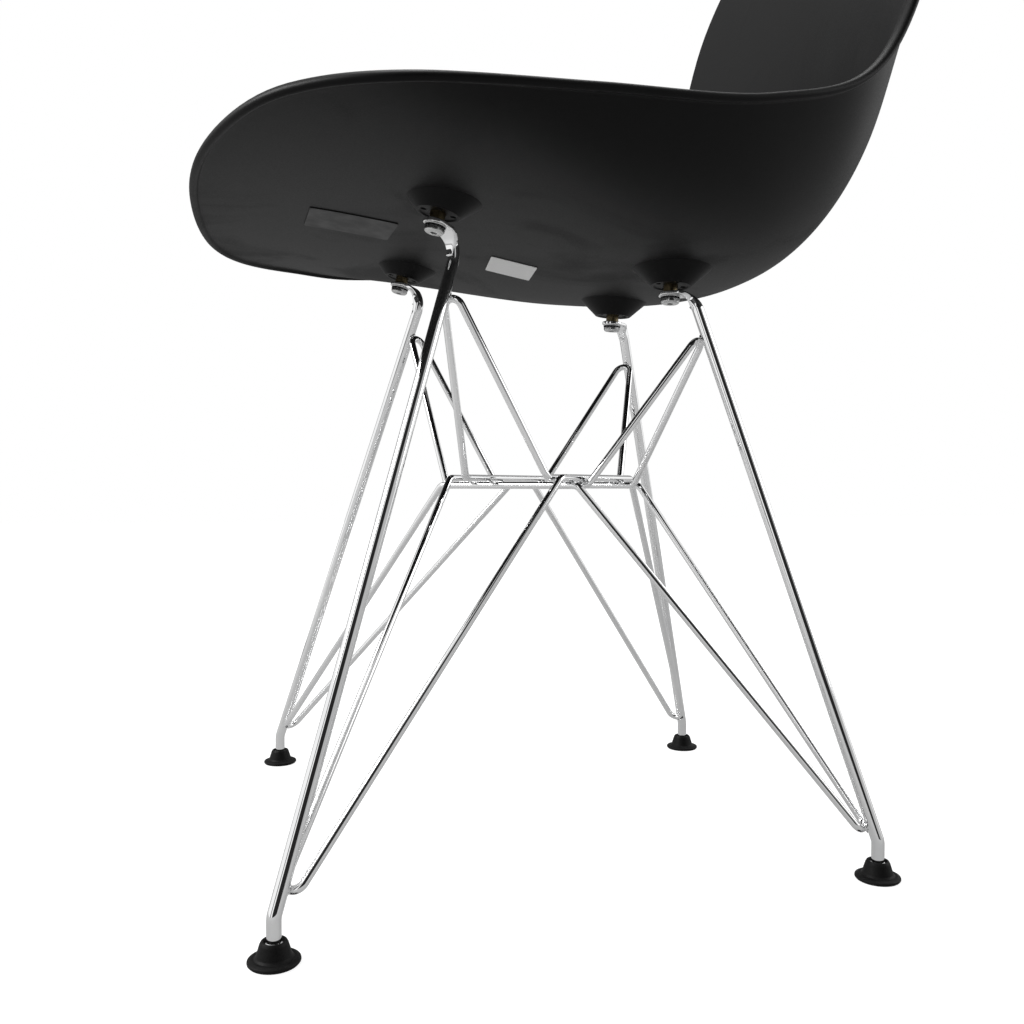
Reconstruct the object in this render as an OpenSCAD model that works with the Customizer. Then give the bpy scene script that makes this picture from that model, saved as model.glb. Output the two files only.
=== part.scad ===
// Plastic side chair: a moulded bucket shell on a chromed wire rod base.
// Millimetres, +Z up, the sitter faces -Y, the floor is at Z = 0.

/* [Seat shell] */
// Width of the seat at its widest, without the rolled rim
seat_w = 470; // [440:2:490]
// Width of the waist, where the seat turns into the back
waist_w = 390; // [370:2:420]
// Width of the back at its widest
back_w = 404; // [380:2:430]
// Height of the front edge above the floor
front_z = 436; // [426:2:450]
// Height of the middle of the seat above the floor
seat_z = 403; // [393:2:413]
// Height of the side rims above the floor
rim_z = 450; // [440:2:464]
// Height of the top of the back above the floor
top_z = 816; // [780:2:850]
// Distance from the front edge to the foot of the back
seat_d = 446; // [430:2:464]
// How far the top of the back stands behind its foot
back_lean = 72; // [56:2:92]
// Wall thickness of the shell
wall = 5; // [4:0.25:6]
// Radius of the rolled rim
lip_r = 7.5; // [6:0.5:11]
// Angle through which the rim rolls outwards
lip_turn = 65; // [45:5:80]

/* [Mounting bosses] */
// Half the distance between the front bosses
boss_front_x = 100; // [90:2:110]
// Half the distance between the rear bosses
boss_rear_x = 63; // [56:1:72]
// Distance of the front bosses ahead of the middle of the base
boss_front_y = 82; // [75:1:95]
// Distance of the rear bosses behind the middle of the base
boss_rear_y = 84; // [75:1:95]
// Height of the front bosses below the shell
boss_front_h = 9; // [8:0.5:12]
// Height of the rear bosses below the shell
boss_rear_h = 11.5; // [10:0.5:14]
// Diameter of the flat end of a boss
boss_d = 28; // [26:1:32]
// Slope of a boss's flank, in degrees from its axis
boss_flank = 47; // [40:1:52]
// How much further the front bosses lean than the shell above them, in degrees
boss_front_tilt = 5; // [0:1:8]

/* [Fastening] */
// Thread diameter of the mounting bolts
bolt_d = 6; // [5:1:6]
// Head diameter of the mounting bolts
bolt_head_d = 13; // [11:0.5:13.5]
// Head height of the mounting bolts
bolt_head_h = 3.2; // [2.8:0.2:5]
// Length of bolt below its head
bolt_len = 14; // [12:1:15]
// Outer diameter of the threaded inserts
insert_d = 10; // [9:0.5:12]
// Length of the threaded inserts
insert_len = 11; // [10:0.5:12]
// How far the threaded inserts stand out of the bosses
insert_stand = 4.5; // [3:0.5:5]
// Thickness of the flattened ends of the legs
flat_t = 2.5; // [2:0.25:3]
// Width of the flattened ends of the legs
flat_w = 16; // [14:1:20]
// Thickness of the flat washers
washer_t = 0.8; // [0.6:0.1:1.2]
// Thickness of the toothed lock washers
lock_t = 1.2; // [1:0.1:1.6]

/* [Wire base] */
// Diameter of the leg rods
leg_d = 8; // [7:0.5:9]
// Diameter of the brace wires
wire_d = 5; // [4:0.5:6]
// Half the distance between the front feet
foot_front_x = 192; // [180:2:210]
// Half the distance between the rear feet
foot_rear_x = 161; // [150:1:180]
// Half the distance between the front and rear feet
foot_y = 185; // [175:1:200]
// Height at which the leg rods turn upright above the feet
foot_bend_z = 24; // [22:1:30]
// Outer radius of the bends below the front mounts
front_bend_r = 18; // [15:1:19]
// Outer radius of the bends below the rear mounts
rear_bend_r = 18; // [16:1:22]
// Height of the welded points of the upper braces below the mounts
upper_weld_drop = 43; // [40:0.5:50]
// Height of the welded points of the lower braces above the floor
lower_weld_z = 37; // [34:1:45]
// Height of the bars of the upper brace level above the floor
brace_z = 253; // [235:1:270]
// Length of the bars of the upper braces
upper_bar_l = 128; // [120:1:132]
// Distance between the two bars of an upper brace
upper_bar_gap = 62.5; // [60:0.5:65]
// Length of the bars of the lower braces
lower_bar_l = 119; // [114:1:122]
// Distance between the two bars of a lower brace
lower_bar_gap = 87.5; // [85:0.5:90]
// Inner bend radius of the brace wires
wire_bend = 4; // [3:0.5:6]

/* [Glides] */
// Diameter of the sole of a glide
glide_d = 28; // [24:1:34]
// Thickness of the sole of a glide
glide_sole = 3; // [2:0.5:4]
// Diameter of the foot of the glide's body
glide_body_d = 19.5; // [17:0.5:21]
// Diameter of the glide's neck
glide_neck_d = 15; // [12.5:0.5:16]
// Height of a glide
glide_h = 12; // [10:0.5:16]

/* [Labels] */
// Length of the pale label under the seat
pale_label_l = 34; // [24:1:40]
// Width of the pale label
pale_label_w = 42; // [30:1:46]
// Length of the dark label under the seat
dark_label_l = 60; // [50:1:76]
// Width of the dark label
dark_label_w = 48; // [36:1:54]

/* [Hidden] */
ends = ["front", "rear"];
sides = ["left", "right"];
corners = [for (e = ends) for (s = sides) str(e, "_", s)];

// Clearance between parts that touch or fit
fit = 0.05;
// Room left at the bottom of a blind bore
bore_room = 0.3;
fine = 64;

// Stations from the front edge over the seat to the top of the back.
// The centre line and the rim line are given as [y, z].
front_y = -231;
back_y = front_y + seat_d;
top_y = back_y + back_lean;
centre_line = [
    [front_y, front_z], [front_y + 63, front_z + 3], [-61, seat_z + 23], [63, seat_z],
    [back_y - 53, seat_z + 4], [back_y, seat_z + 62], [back_y + 7, seat_z + 158],
    [back_y + 33, seat_z + 273], [top_y, top_z]
];
rim_line = [
    [front_y + 23, rim_z - 3], [front_y + 60, rim_z - 1], [-116, rim_z - 2], [-20, rim_z],
    [back_y - 133, rim_z + 9], [back_y - 61, rim_z + 40], [back_y - 26, rim_z + 123],
    [back_y + 2, rim_z + 238], [top_y - 26, top_z - 6]
];
half_widths = [
    seat_w - 56, seat_w - 24, seat_w, seat_w - 18, waist_w + 32, waist_w, waist_w, back_w, back_w - 8
] / 2;
// How late the wall rises from the centre line to the rim, as a power
rises = [2, 3, 3.6, 3.3, 2.3, 2.1, 1.7, 1.9, 2];
// How square the outline is, and how closely its points follow the long sides
outline_power = 4.6;
outline_crowd = 0.6;
columns = 96;
ring_steps = [0.06, 0.14, 0.23, 0.32, 0.41, 0.5, 0.59, 0.68, 0.76, 0.83, 0.89, 0.945, 1];
lip_steps = 4;
edge_steps = 3;

function unit(v) = v / norm(v);
function turn_between(a, b) = atan2(norm(cross(a, b)), a * b);

// Smooth curve through evenly spaced stations, v running from 0 to 1
function station(p, i) =
    i < 0 ? 2 * p[0] - p[1] : i >= len(p) ? 2 * p[len(p) - 1] - p[len(p) - 2] : p[i];
function spline(p, v) =
    let (n = len(p) - 1, t = max(0, min(1, v)) * n, i = min(floor(t), n - 1), f = t - i,
        a = station(p, i - 1), b = p[i], c = p[i + 1], d = station(p, i + 2))
    0.5 * (2 * b + (c - a) * f + (2 * a - 5 * b + 4 * c - d) * f * f + (3 * b - a - 3 * c + d) * f * f * f);

// Sitting face of the shell: u runs from one rim (-1) to the other (1), v from front to top
function skin(u, v) =
    let (c = spline(centre_line, v), r = spline(rim_line, v), s = c + (r - c) * pow(abs(u), spline(rises, v)))
    [spline(half_widths, v) * u, s[0], s[1]];
function skin_normal(u, v, e = 0.001) =
    unit(cross(skin(u + e, v) - skin(u - e, v), skin(u, min(1, v + e)) - skin(u, max(0, v - e))));
function underside(u, v) = skin(u, v) - skin_normal(u, v) * wall;

// Point of the outline in direction j, drawn in towards the middle by rho
function outline(j, rho) =
    let (s = sin(360 * j / columns), c = outline_crowd * cos(360 * j / columns),
        r = rho * pow(pow(abs(s), outline_power) + pow(abs(c), outline_power), -1 / outline_power))
    [r * s, 0.5 - 0.5 * r * c];
function rim_point(j) = let (q = outline(j, 1)) skin(q[0], q[1]);

// One radial strip of the shell, from the middle out over the rolled rim and back underneath
function strip(j) =
    let (q = outline(j, 1), rim = rim_point(j), up = skin_normal(q[0], q[1]),
        along = unit(rim_point(j + 1) - rim_point(j - 1)), out = cross(along, up))
    [
        for (rho = ring_steps) let (p = outline(j, rho)) skin(p[0], p[1]),
        for (k = [1 : lip_steps]) let (a = lip_turn * k / lip_steps)
            rim + lip_r * (out * sin(a) - up * (1 - cos(a))),
        for (k = [1 : edge_steps]) let (a = 180 * k / (edge_steps + 1), t = lip_turn)
            rim + lip_r * (out * sin(t) - up * (1 - cos(t))) - (up * cos(t) + out * sin(t)) * wall / 2
                + ((up * cos(t) + out * sin(t)) * cos(a) + (out * cos(t) - up * sin(t)) * sin(a)) * wall / 2,
        for (k = [lip_steps : -1 : 1]) let (a = lip_turn * k / lip_steps)
            rim + lip_r * (out * sin(a) - up * (1 - cos(a))) - (up * cos(a) + out * sin(a)) * wall,
        for (i = [len(ring_steps) - 1 : -1 : 0]) let (p = outline(j, ring_steps[i])) underside(p[0], p[1])
    ];
strips = [for (j = [0 : columns - 1]) strip(j)];
rows = len(strips[0]);
shell_points = concat([for (s = strips) each s], [skin(0, 0.5), underside(0, 0.5)]);
shell_faces = concat(
    [for (j = [0 : columns - 1]) for (i = [0 : rows - 2])
        let (a = j * rows + i, b = (j + 1) % columns * rows + i) each [[a, b, a + 1], [b, b + 1, a + 1]]],
    [for (j = [0 : columns - 1])
        let (a = j * rows, b = (j + 1) % columns * rows)
        each [[columns * rows, b, a], [columns * rows + 1, a + rows - 1, b + rows - 1]]]);

// The frame's origin is under the middle of the whole chair
shell_y = [for (p = shell_points) p.y];
middle_y = (min(shell_y) + max(shell_y)) / 2;

// Finds the [u, v] of the shell above a given x and y
function above(x, y, v = 0.3, steps = 14) =
    let (u = x / spline(half_widths, v), e = 0.001, now = skin(u, v).y, rate = (skin(u, v + e).y - now) / e)
    steps == 0 ? [u, v] : above(x, y, v + (y - now) / rate, steps - 1);

// Mount at the end face of a threaded insert: its place and its axis, which points down
function is_front(c) = c[0] == "f";
function side_sign(c) = c == "front_right" || c == "rear_right" ? -1 : 1;
function boss_x(c) = side_sign(c) * (is_front(c) ? boss_front_x : boss_rear_x);
function boss_y(c) = is_front(c) ? -boss_front_y : boss_rear_y;
function boss_h(c) = is_front(c) ? boss_front_h : boss_rear_h;
function boss_axis(c) =
    let (q = above(boss_x(c), boss_y(c)), n = -skin_normal(q[0], q[1]), t = is_front(c) ? boss_front_tilt : 0)
    [n.x, n.y * cos(t) + n.z * sin(t), n.z * cos(t) - n.y * sin(t)];
function boss_root(c) = let (q = above(boss_x(c), boss_y(c))) underside(q[0], q[1]);
function mount(c) = boss_root(c) + boss_axis(c) * (boss_h(c) + insert_stand);
function foot_x(c) = side_sign(c) * (is_front(c) ? foot_front_x : foot_rear_x);
function foot_at(c, z) = [foot_x(c), is_front(c) ? -foot_y : foot_y, z];
// Way from a bolt to its leg, seen from above
reach_turn = [133, 51];
function by_end(c, pair) = pair[is_front(c) ? 0 : 1];
function reach(c) =
    let (t = by_end(c, reach_turn), v = [side_sign(c) * cos(t), sin(t), 0], a = boss_axis(c))
    unit(v - a * (v * a));
// Point in the middle of the flat end's thickness, at e from the bolt
function on_plate(c, e) = mount(c) + boss_axis(c) * flat_t / 2 + reach(c) * e;
// The bend lies in the plane through the flat end's middle line and the foot, with d running down
function to_foot(c) = foot_at(c, foot_bend_z) - on_plate(c, 0);
function down(c) = let (r = reach(c), w = to_foot(c)) unit(w - r * (w * r));
function in_bend(c, e, d) = on_plate(c, e) + down(c) * d;
// Length of the flat end from the bolt to the bend
flat_e = bolt_head_d / 2 + 0.5;
function bend_r(c) = by_end(c, [front_bend_r, rear_bend_r]);
function bend_depth(c) = bend_r(c) - flat_t / 2;
// Angle through which the rod bends until it points at the foot
function bend_turn(c) =
    let (e = to_foot(c) * reach(c) - flat_e, d = to_foot(c) * down(c) - bend_depth(c), r = bend_r(c) - leg_d / 2)
    atan2(d, e) + atan2(r, sqrt(e * e + d * d - r * r));
function leg_line(c) = reach(c) * cos(bend_turn(c)) + down(c) * sin(bend_turn(c));
function leg_at(c, z) = foot_at(c, foot_bend_z) + leg_line(c) * (z - foot_bend_z) / leg_line(c).z;

// Rod end inside a glide
rod_end_z = glide_sole + 1;
foot_bend_r = 12;
wire_r = wire_bend + wire_d / 2;

// A brace joins the front leg of one side with the rear leg of the other
function brace_legs(s) = s > 0 ? ["front_left", "rear_right"] : ["front_right", "rear_left"];
function brace_level(s) = s > 0 ? brace_z : brace_z - wire_d - fit;
// Middle of a brace's bars as [x, y], and the bars' angle
upper_bars = [[13, 8], 139.5];
lower_bars = [[5.5, 7.5], 138];
// The rear welds stand a little nearer to the mount above and to the foot below than the front ones
upper_rear_rise = 10.5;
lower_rear_fall = 4;
// Corner of a brace's bars: a is 1 at the front end, b is 1 at the outer bar
function bar_corner(s, bars, l, g, a, b) =
    let (d = [cos(bars[1]), sin(bars[1])], n = [sin(bars[1]), -cos(bars[1])],
        p = bars[0] - d * a * l / 2 + n * b * g / 2)
    [s * p.x, p.y, brace_level(s)];
// Sharp corner of a brace at its weld on a leg, so that its rounded top meets the rod
function weld_corner(c, z, p, q, steps = 4, k = undef) =
    let (top = leg_at(c, z), now = k == undef ? top : k, b = unit(unit(p - now) + unit(q - now)),
        h = turn_between(p - now, q - now) / 2, line = leg_line(c), inward = unit(b - line * (b * line)),
        next = top + inward * (leg_d / 2 + wire_d / 2 + fit) - b * wire_r * (1 / sin(h) - 1))
    steps == 0 ? now : weld_corner(c, z, p, q, steps - 1, next);
function brace_path(s, bars, l, g, z_front, z_rear) =
    let (c = brace_legs(s), fi = bar_corner(s, bars, l, g, 1, -1), ri = bar_corner(s, bars, l, g, -1, -1),
        ro = bar_corner(s, bars, l, g, -1, 1), fo = bar_corner(s, bars, l, g, 1, 1))
    [weld_corner(c[0], z_front, fo, fi), fi, ri, weld_corner(c[1], z_rear, ri, ro), ro, fo];
function upper_path(s) =
    let (c = brace_legs(s), z_front = mount(c[0]).z - upper_weld_drop, z_rear = mount(c[1]).z - upper_weld_drop)
    brace_path(s, upper_bars, upper_bar_l, upper_bar_gap, z_front, z_rear + upper_rear_rise);
function lower_path(s) =
    brace_path(s, lower_bars, lower_bar_l, lower_bar_gap, lower_weld_z, lower_weld_z - lower_rear_fall);

// Rounds the corners of a path with arcs of radius r
function rounded(pts, r, closed, steps = 6) =
    let (n = len(pts)) [
        for (i = [0 : n - 1])
            if (!closed && (i == 0 || i == n - 1)) pts[i]
            else
                let (p = pts[(i + n - 1) % n], q = pts[i], m = pts[(i + 1) % n], a = unit(p - q), b = unit(m - q),
                    h = turn_between(a, b) / 2, back = r / tan(h), c = q + unit(a + b) * r / sin(h),
                    u = (q + a * back - c) / r, w = unit(cross(cross(u, q + b * back - c), u)))
                each [for (k = [0 : steps]) let (t = (180 - 2 * h) * k / steps) c + r * (u * cos(t) + w * sin(t))]
    ];
// Frames carried along a path without twist
function carried(t, i, u) = unit(u - t[i] * (u * t[i]));
function tangents(p, closed) =
    let (n = len(p)) [for (i = [0 : n - 1])
        unit(p[closed ? (i + 1) % n : min(n - 1, i + 1)] - p[closed ? (i + n - 1) % n : max(0, i - 1)])];
function carry(t, u) = [for (i = 0, w = carried(t, 0, u); i < len(t); i = i + 1, w = i < len(t) ? carried(t, i, w) : w) w];

// Skin over rings of n points each, joined in a loop or closed by flat ends
function skin_faces(rings, n, closed) = concat(
    [for (i = [0 : closed ? rings - 1 : rings - 2]) for (k = [0 : n - 1])
        let (a = i * n, b = (i + 1) % rings * n, m = (k + 1) % n)
        each [[a + k, b + k, a + m], [b + k, b + m, a + m]]],
    closed ? [] : [[for (k = [0 : n - 1]) k], [for (k = [n - 1 : -1 : 0]) (rings - 1) * n + k]]);

// Round bar swept along a closed rounded path
module swept_loop(pts, r, d, n) {
    path = rounded(pts, r, true);
    t = tangents(path, true);
    side = carry(t, cross(t[0], [0.3, 0.2, 0.93]));
    count = len(path);
    // The twist left over after one lap is spread along the loop
    last = carried(t, 0, side[count - 1]);
    spare = atan2(cross(side[0], last) * t[0], side[0] * last);
    points = [for (i = [0 : count - 1]) for (k = [0 : n - 1])
        let (a = 360 * k / n - spare * i / count) path[i] + d / 2 * (side[i] * cos(a) + cross(t[i], side[i]) * sin(a))];
    polyhedron(points, skin_faces(count, n, true));
}

// Puts a part into the chair's frame
module placed() translate([0, -middle_y, 0]) children();

// Puts a part at a mount, with Z up the boss's axis and X towards the leg
module on_mount(c) {
    o = mount(c);
    x = reach(c);
    z = -boss_axis(c);
    y = cross(z, x);
    multmatrix([[x.x, y.x, z.x, o.x], [x.y, y.y, z.y, o.y], [x.z, y.z, z.z, o.z], [0, 0, 0, 1]]) children();
}

module boss(c) {
    top = boss_h(c) + wall / 2;
    on_mount(c) translate([0, 0, insert_stand])
        cylinder(h = top, d1 = boss_d, d2 = boss_d + 2 * top * tan(boss_flank), $fn = fine);
}

vent_d = 3.6;
vent_ring_r = (insert_d + boss_d) / 4;
vent_depth = 5;
module boss_bores(c) on_mount(c) {
    cylinder(h = insert_len + bore_room, d = insert_d + 2 * fit, $fn = fine);
    for (a = [45 : 90 : 315]) rotate(a) translate([vent_ring_r, 0, 0])
        cylinder(h = insert_stand + vent_depth, d = vent_d, $fn = 24);
}

module seat_shell() color([0.08, 0.08, 0.08]) placed() difference() {
    union() {
        polyhedron(shell_points, shell_faces);
        for (c = corners) boss(c);
    }
    for (c = corners) boss_bores(c);
}

module threaded_insert(c) color("goldenrod") placed() on_mount(c) difference() {
    cylinder(h = insert_len, d = insert_d, $fn = fine);
    translate([0, 0, -1]) cylinder(h = insert_len + 2, d = bolt_d, $fn = fine);
}

module flat_washer(c) color("silver") placed() on_mount(c)
    translate([0, 0, -flat_t - washer_t]) difference() {
        cylinder(h = washer_t, d = bolt_head_d + 1, $fn = fine);
        translate([0, 0, -1]) cylinder(h = washer_t + 2, d = bolt_d + 0.4, $fn = fine);
    }

lock_teeth = 12;
lock_z = flat_t + washer_t + lock_t;
module lock_washer(c) color([0.25, 0.25, 0.25]) placed() on_mount(c)
    translate([0, 0, -lock_z]) difference() {
        cylinder(h = lock_t, d = bolt_head_d + 0.6, $fn = fine);
        translate([0, 0, -1]) cylinder(h = lock_t + 2, d = bolt_d + 0.2, $fn = fine);
        for (k = [0 : lock_teeth - 1]) rotate(360 * k / lock_teeth)
            translate([bolt_head_d / 2 - 0.3, -0.5, -1]) cube([2, 1, lock_t + 2]);
    }

socket_af = 4;
module bolt(c) color("silver") placed() on_mount(c) difference() {
    union() {
        translate([0, 0, -lock_z]) cylinder(h = bolt_len, d = bolt_d - 2 * fit, $fn = fine);
        translate([0, 0, -lock_z - bolt_head_h]) rotate_extrude($fn = fine) polygon([
            [0, 0], [bolt_head_d / 2 - 1.2, 0], [bolt_head_d / 2, 1.2], [bolt_head_d / 2, bolt_head_h], [0, bolt_head_h]
        ]);
    }
    translate([0, 0, -lock_z - bolt_head_h - 1]) cylinder(h = bolt_head_h / 2 + 1, d = socket_af / cos(30), $fn = 6);
}

// Stations of a leg, each a middle point with half the width, half the thickness and how square it is.
// In the bend the flat end turns into a rod again, first in its width and then in its thickness.
tip_steps = 6;
arc_steps = 12;
narrow_end = 0.55;
thick_end = 0.9;
flat_power = 8;
function growth(f, end) = let (t = min(1, f / end)) t * t * (3 - 2 * t);
function tip_stations(c) = [
    for (k = [1 : tip_steps]) let (a = 90 * k / (tip_steps + 0.4))
        [on_plate(c, -flat_w / 2 * cos(a)), flat_w / 2 * sin(a), flat_t / 2, flat_power],
    [on_plate(c, flat_e / 2), flat_w / 2, flat_t / 2, flat_power]
];
function arc_stations(c) = [
    for (k = [0 : arc_steps])
        let (f = bend_turn(c) * k / arc_steps, g = growth(k / arc_steps, thick_end),
            w = (flat_w + (leg_d - flat_w) * growth(k / arc_steps, narrow_end)) / 2,
            h = (flat_t + (leg_d - flat_t) * g) / 2, r = bend_r(c) - h)
        [in_bend(c, flat_e + r * sin(f), bend_depth(c) - r * cos(f)), w, h, flat_power + (2 - flat_power) * g]
];
function foot_stations(c) = [
    for (p = rounded([leg_at(c, foot_bend_z + 100), foot_at(c, foot_bend_z), foot_at(c, rod_end_z)], foot_bend_r, false))
        [p, leg_d / 2, leg_d / 2, 2]
];
function bulge(x, power) = sign(x) * pow(abs(x), 2 / power);
leg_sides = 24;
module leg(c) color("lightgray") placed() difference() {
    rows = concat(tip_stations(c), arc_stations(c), foot_stations(c));
    t = tangents([for (q = rows) q[0]], false);
    up = carry(t, -boss_axis(c));
    points = [for (i = [0 : len(rows) - 1]) for (k = [0 : leg_sides - 1])
        let (q = rows[i], a = 360 * (k + 0.5) / leg_sides)
        q[0] + up[i] * q[2] * bulge(sin(a), q[3]) - cross(t[i], up[i]) * q[1] * bulge(cos(a), q[3])];
    polyhedron(points, skin_faces(len(rows), leg_sides, false));
    on_mount(c) translate([0, 0, -flat_t - 1]) cylinder(h = flat_t + 2, d = bolt_d + 0.6, $fn = fine);
}

module upper_brace(s) color("lightgray") placed() swept_loop(upper_path(s), wire_r, wire_d, 16);
module lower_brace(s) color("lightgray") placed() swept_loop(lower_path(s), wire_r, wire_d, 16);

module glide(c) color([0.1, 0.1, 0.1]) placed() translate(foot_at(c, 0)) difference() {
    rotate_extrude($fn = fine) polygon([
        [0, 0], [glide_d / 2 - 0.8, 0], [glide_d / 2, 0.8], [glide_d / 2, glide_sole - 0.8], [glide_d / 2 - 0.8, glide_sole],
        [glide_body_d / 2, glide_sole], [glide_body_d / 2 - 0.3, glide_h * 0.55], [glide_neck_d / 2 + 1, glide_h * 0.8],
        [glide_neck_d / 2, glide_h * 0.86], [glide_neck_d / 2 - 0.4, glide_h - 0.6], [glide_neck_d / 2 - 1, glide_h], [0, glide_h]
    ]);
    translate([0, 0, rod_end_z - bore_room]) cylinder(h = glide_h, d = leg_d + 2 * fit, $fn = fine);
}

// Thin sheet that follows the underside of the shell, centred above x and y and turned by a
label_t = 0.4;
label_gap = 0.3;
module label(x, y, l, w, a) {
    n = 8;
    grid = [for (i = [0 : n]) for (j = [0 : n])
        let (p = l * (i / n - 0.5), q = w * (j / n - 0.5), s = above(x + p * cos(a) - q * sin(a), y + p * sin(a) + q * cos(a)))
        [underside(s[0], s[1]), skin_normal(s[0], s[1])]];
    m = (n + 1) * (n + 1);
    edge = concat([for (i = [0 : n - 1]) i * (n + 1)], [for (j = [0 : n - 1]) n * (n + 1) + j],
        [for (i = [n : -1 : 1]) i * (n + 1) + n], [for (j = [n : -1 : 1]) j]);
    polyhedron(
        concat([for (g = grid) g[0] - g[1] * label_gap], [for (g = grid) g[0] - g[1] * (label_gap + label_t)]),
        concat(
            [for (i = [0 : n - 1]) for (j = [0 : n - 1]) let (k = i * (n + 1) + j)
                each [[k, k + 1, k + n + 1], [k + 1, k + n + 2, k + n + 1],
                    [m + k, m + k + n + 1, m + k + 1], [m + k + 1, m + k + n + 1, m + k + n + 2]]],
            [for (i = [0 : len(edge) - 1]) let (a = edge[i], b = edge[(i + 1) % len(edge)])
                each [[a, b, m + a], [b, m + b, m + a]]]));
}
pale_label_at = [-19.5, -11];
pale_label_turn = 85;
dark_label_at = [9, -132.5];
dark_label_turn = 94;
module pale_label() color("gainsboro") placed()
    label(pale_label_at.x, pale_label_at.y, pale_label_l, pale_label_w, pale_label_turn);
module dark_label() color("dimgray") placed()
    label(dark_label_at.x, dark_label_at.y, dark_label_l, dark_label_w, dark_label_turn);

seat_shell();
pale_label();
dark_label();
for (c = corners) {
    threaded_insert(c);
    bolt(c);
    lock_washer(c);
    flat_washer(c);
    leg(c);
    glide(c);
}
upper_brace(1);  // upper_brace_a
upper_brace(-1);  // upper_brace_b
lower_brace(1);  // lower_brace_a
lower_brace(-1);  // lower_brace_b
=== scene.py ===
"""Looks of a plastic side chair: a moulded bucket shell on a chromed wire rod base.

The chair stands on the floor at Z = 0 and the sitter faces -Y. Sizes of the
pieces are kept in millimetres, and a mesh is turned into metres when it is made.
"""
import logging
import math
from dataclasses import dataclass, field
from enum import Enum
from typing import Sequence, Union

import bpy
import numpy as np
from mathutils import Matrix


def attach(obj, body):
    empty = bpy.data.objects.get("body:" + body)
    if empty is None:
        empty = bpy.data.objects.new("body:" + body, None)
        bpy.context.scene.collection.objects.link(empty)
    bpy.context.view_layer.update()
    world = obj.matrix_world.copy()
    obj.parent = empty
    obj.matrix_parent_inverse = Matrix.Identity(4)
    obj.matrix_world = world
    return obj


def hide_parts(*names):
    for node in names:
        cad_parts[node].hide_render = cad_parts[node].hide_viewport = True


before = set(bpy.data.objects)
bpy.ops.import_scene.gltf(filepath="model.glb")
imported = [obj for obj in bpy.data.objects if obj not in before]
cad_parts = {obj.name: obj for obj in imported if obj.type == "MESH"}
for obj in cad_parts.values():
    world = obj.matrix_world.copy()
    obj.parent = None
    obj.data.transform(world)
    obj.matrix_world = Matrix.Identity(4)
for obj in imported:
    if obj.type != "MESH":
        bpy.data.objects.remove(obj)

LOG = logging.getLogger("side_chair")
MM = 0.001
BODY = "root"
FIT = 0.05
Thing = bpy.types.Object
Node = bpy.types.Node
Socket = bpy.types.NodeSocket
Tree = bpy.types.NodeTree
Span = tuple[float, float]
Triple = tuple[float, float, float]
Colour = Triple
Value = Union[float, tuple, Socket]


# Small sums


def unit(v: np.ndarray) -> np.ndarray:
    """Vector or rows of vectors brought to length 1."""
    v = np.asarray(v, float)
    return v / np.linalg.norm(v, axis=-1, keepdims=True)


def half_turn(a: np.ndarray, b: np.ndarray) -> float:
    """Half the angle between two vectors, in radians."""
    return math.atan2(np.linalg.norm(np.cross(a, b)), float(np.dot(a, b))) / 2


def spline(stations: Sequence, v: np.ndarray) -> np.ndarray:
    """Smooth curve through evenly spaced stations.

    Args:
        stations: numbers or points that the curve goes through.
        v: where along the curve, from 0 to 1.

    Returns:
        A number or a point for every v.
    """
    p = np.asarray(stations, float)
    n = len(p) - 1
    ends = np.concatenate([[2 * p[0] - p[1]], p, [2 * p[-1] - p[-2]]])
    t = np.clip(np.asarray(v, float), 0, 1) * n
    i = np.minimum(t.astype(int), n - 1)
    f = t - i
    if p.ndim == 2:
        f = f[..., None]
    a, b, c, d = (ends[i + k] for k in range(4))
    return 0.5 * (
        2 * b + (c - a) * f + (2 * a - 5 * b + 4 * c - d) * f**2 + (3 * b - a - 3 * c + d) * f**3
    )


def rounded(points: Sequence, radii: Union[float, Sequence[float]], closed: bool, steps: int) -> np.ndarray:
    """Rounds the corners of a path with arcs.

    Args:
        points: corners of the path, in two or three dimensions.
        radii: one radius for all corners, or one for each.
        closed: whether the path comes back to its start.
        steps: pieces in each arc.

    Returns:
        The points of the rounded path.
    """
    pts = [np.asarray(p, float) for p in points]
    flat = len(pts[0]) == 2
    if flat:
        pts = [np.append(p, 0.0) for p in pts]
    n = len(pts)
    sizes = [radii] * n if isinstance(radii, (int, float)) else list(radii)
    out = []
    for i, q in enumerate(pts):
        ends = not closed and i in (0, n - 1)
        a, b = unit(pts[i - 1] - q), unit(pts[(i + 1) % n] - q)
        h = half_turn(a, b)
        if ends or sizes[i] <= 0 or h > math.pi / 2 - 0.01:
            out.append(q)
            continue
        back = sizes[i] / math.tan(h)
        centre = q + unit(a + b) * sizes[i] / math.sin(h)
        u = (q + a * back - centre) / sizes[i]
        v = q + b * back - centre
        w = unit(v - u * np.dot(v, u))
        for k in range(steps + 1):
            t = (math.pi - 2 * h) * k / steps
            out.append(centre + sizes[i] * (u * math.cos(t) + w * math.sin(t)))
    result = np.array(out)
    return result[:, :2] if flat else result


def axes_at(x: Sequence, y: Sequence, z: Sequence, at: Sequence) -> Matrix:
    """Matrix that takes a piece's own axes to these directions at a place."""
    return Matrix([[x[i], y[i], z[i], at[i]] for i in range(3)] + [[0, 0, 0, 1]])


# Meshes


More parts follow.
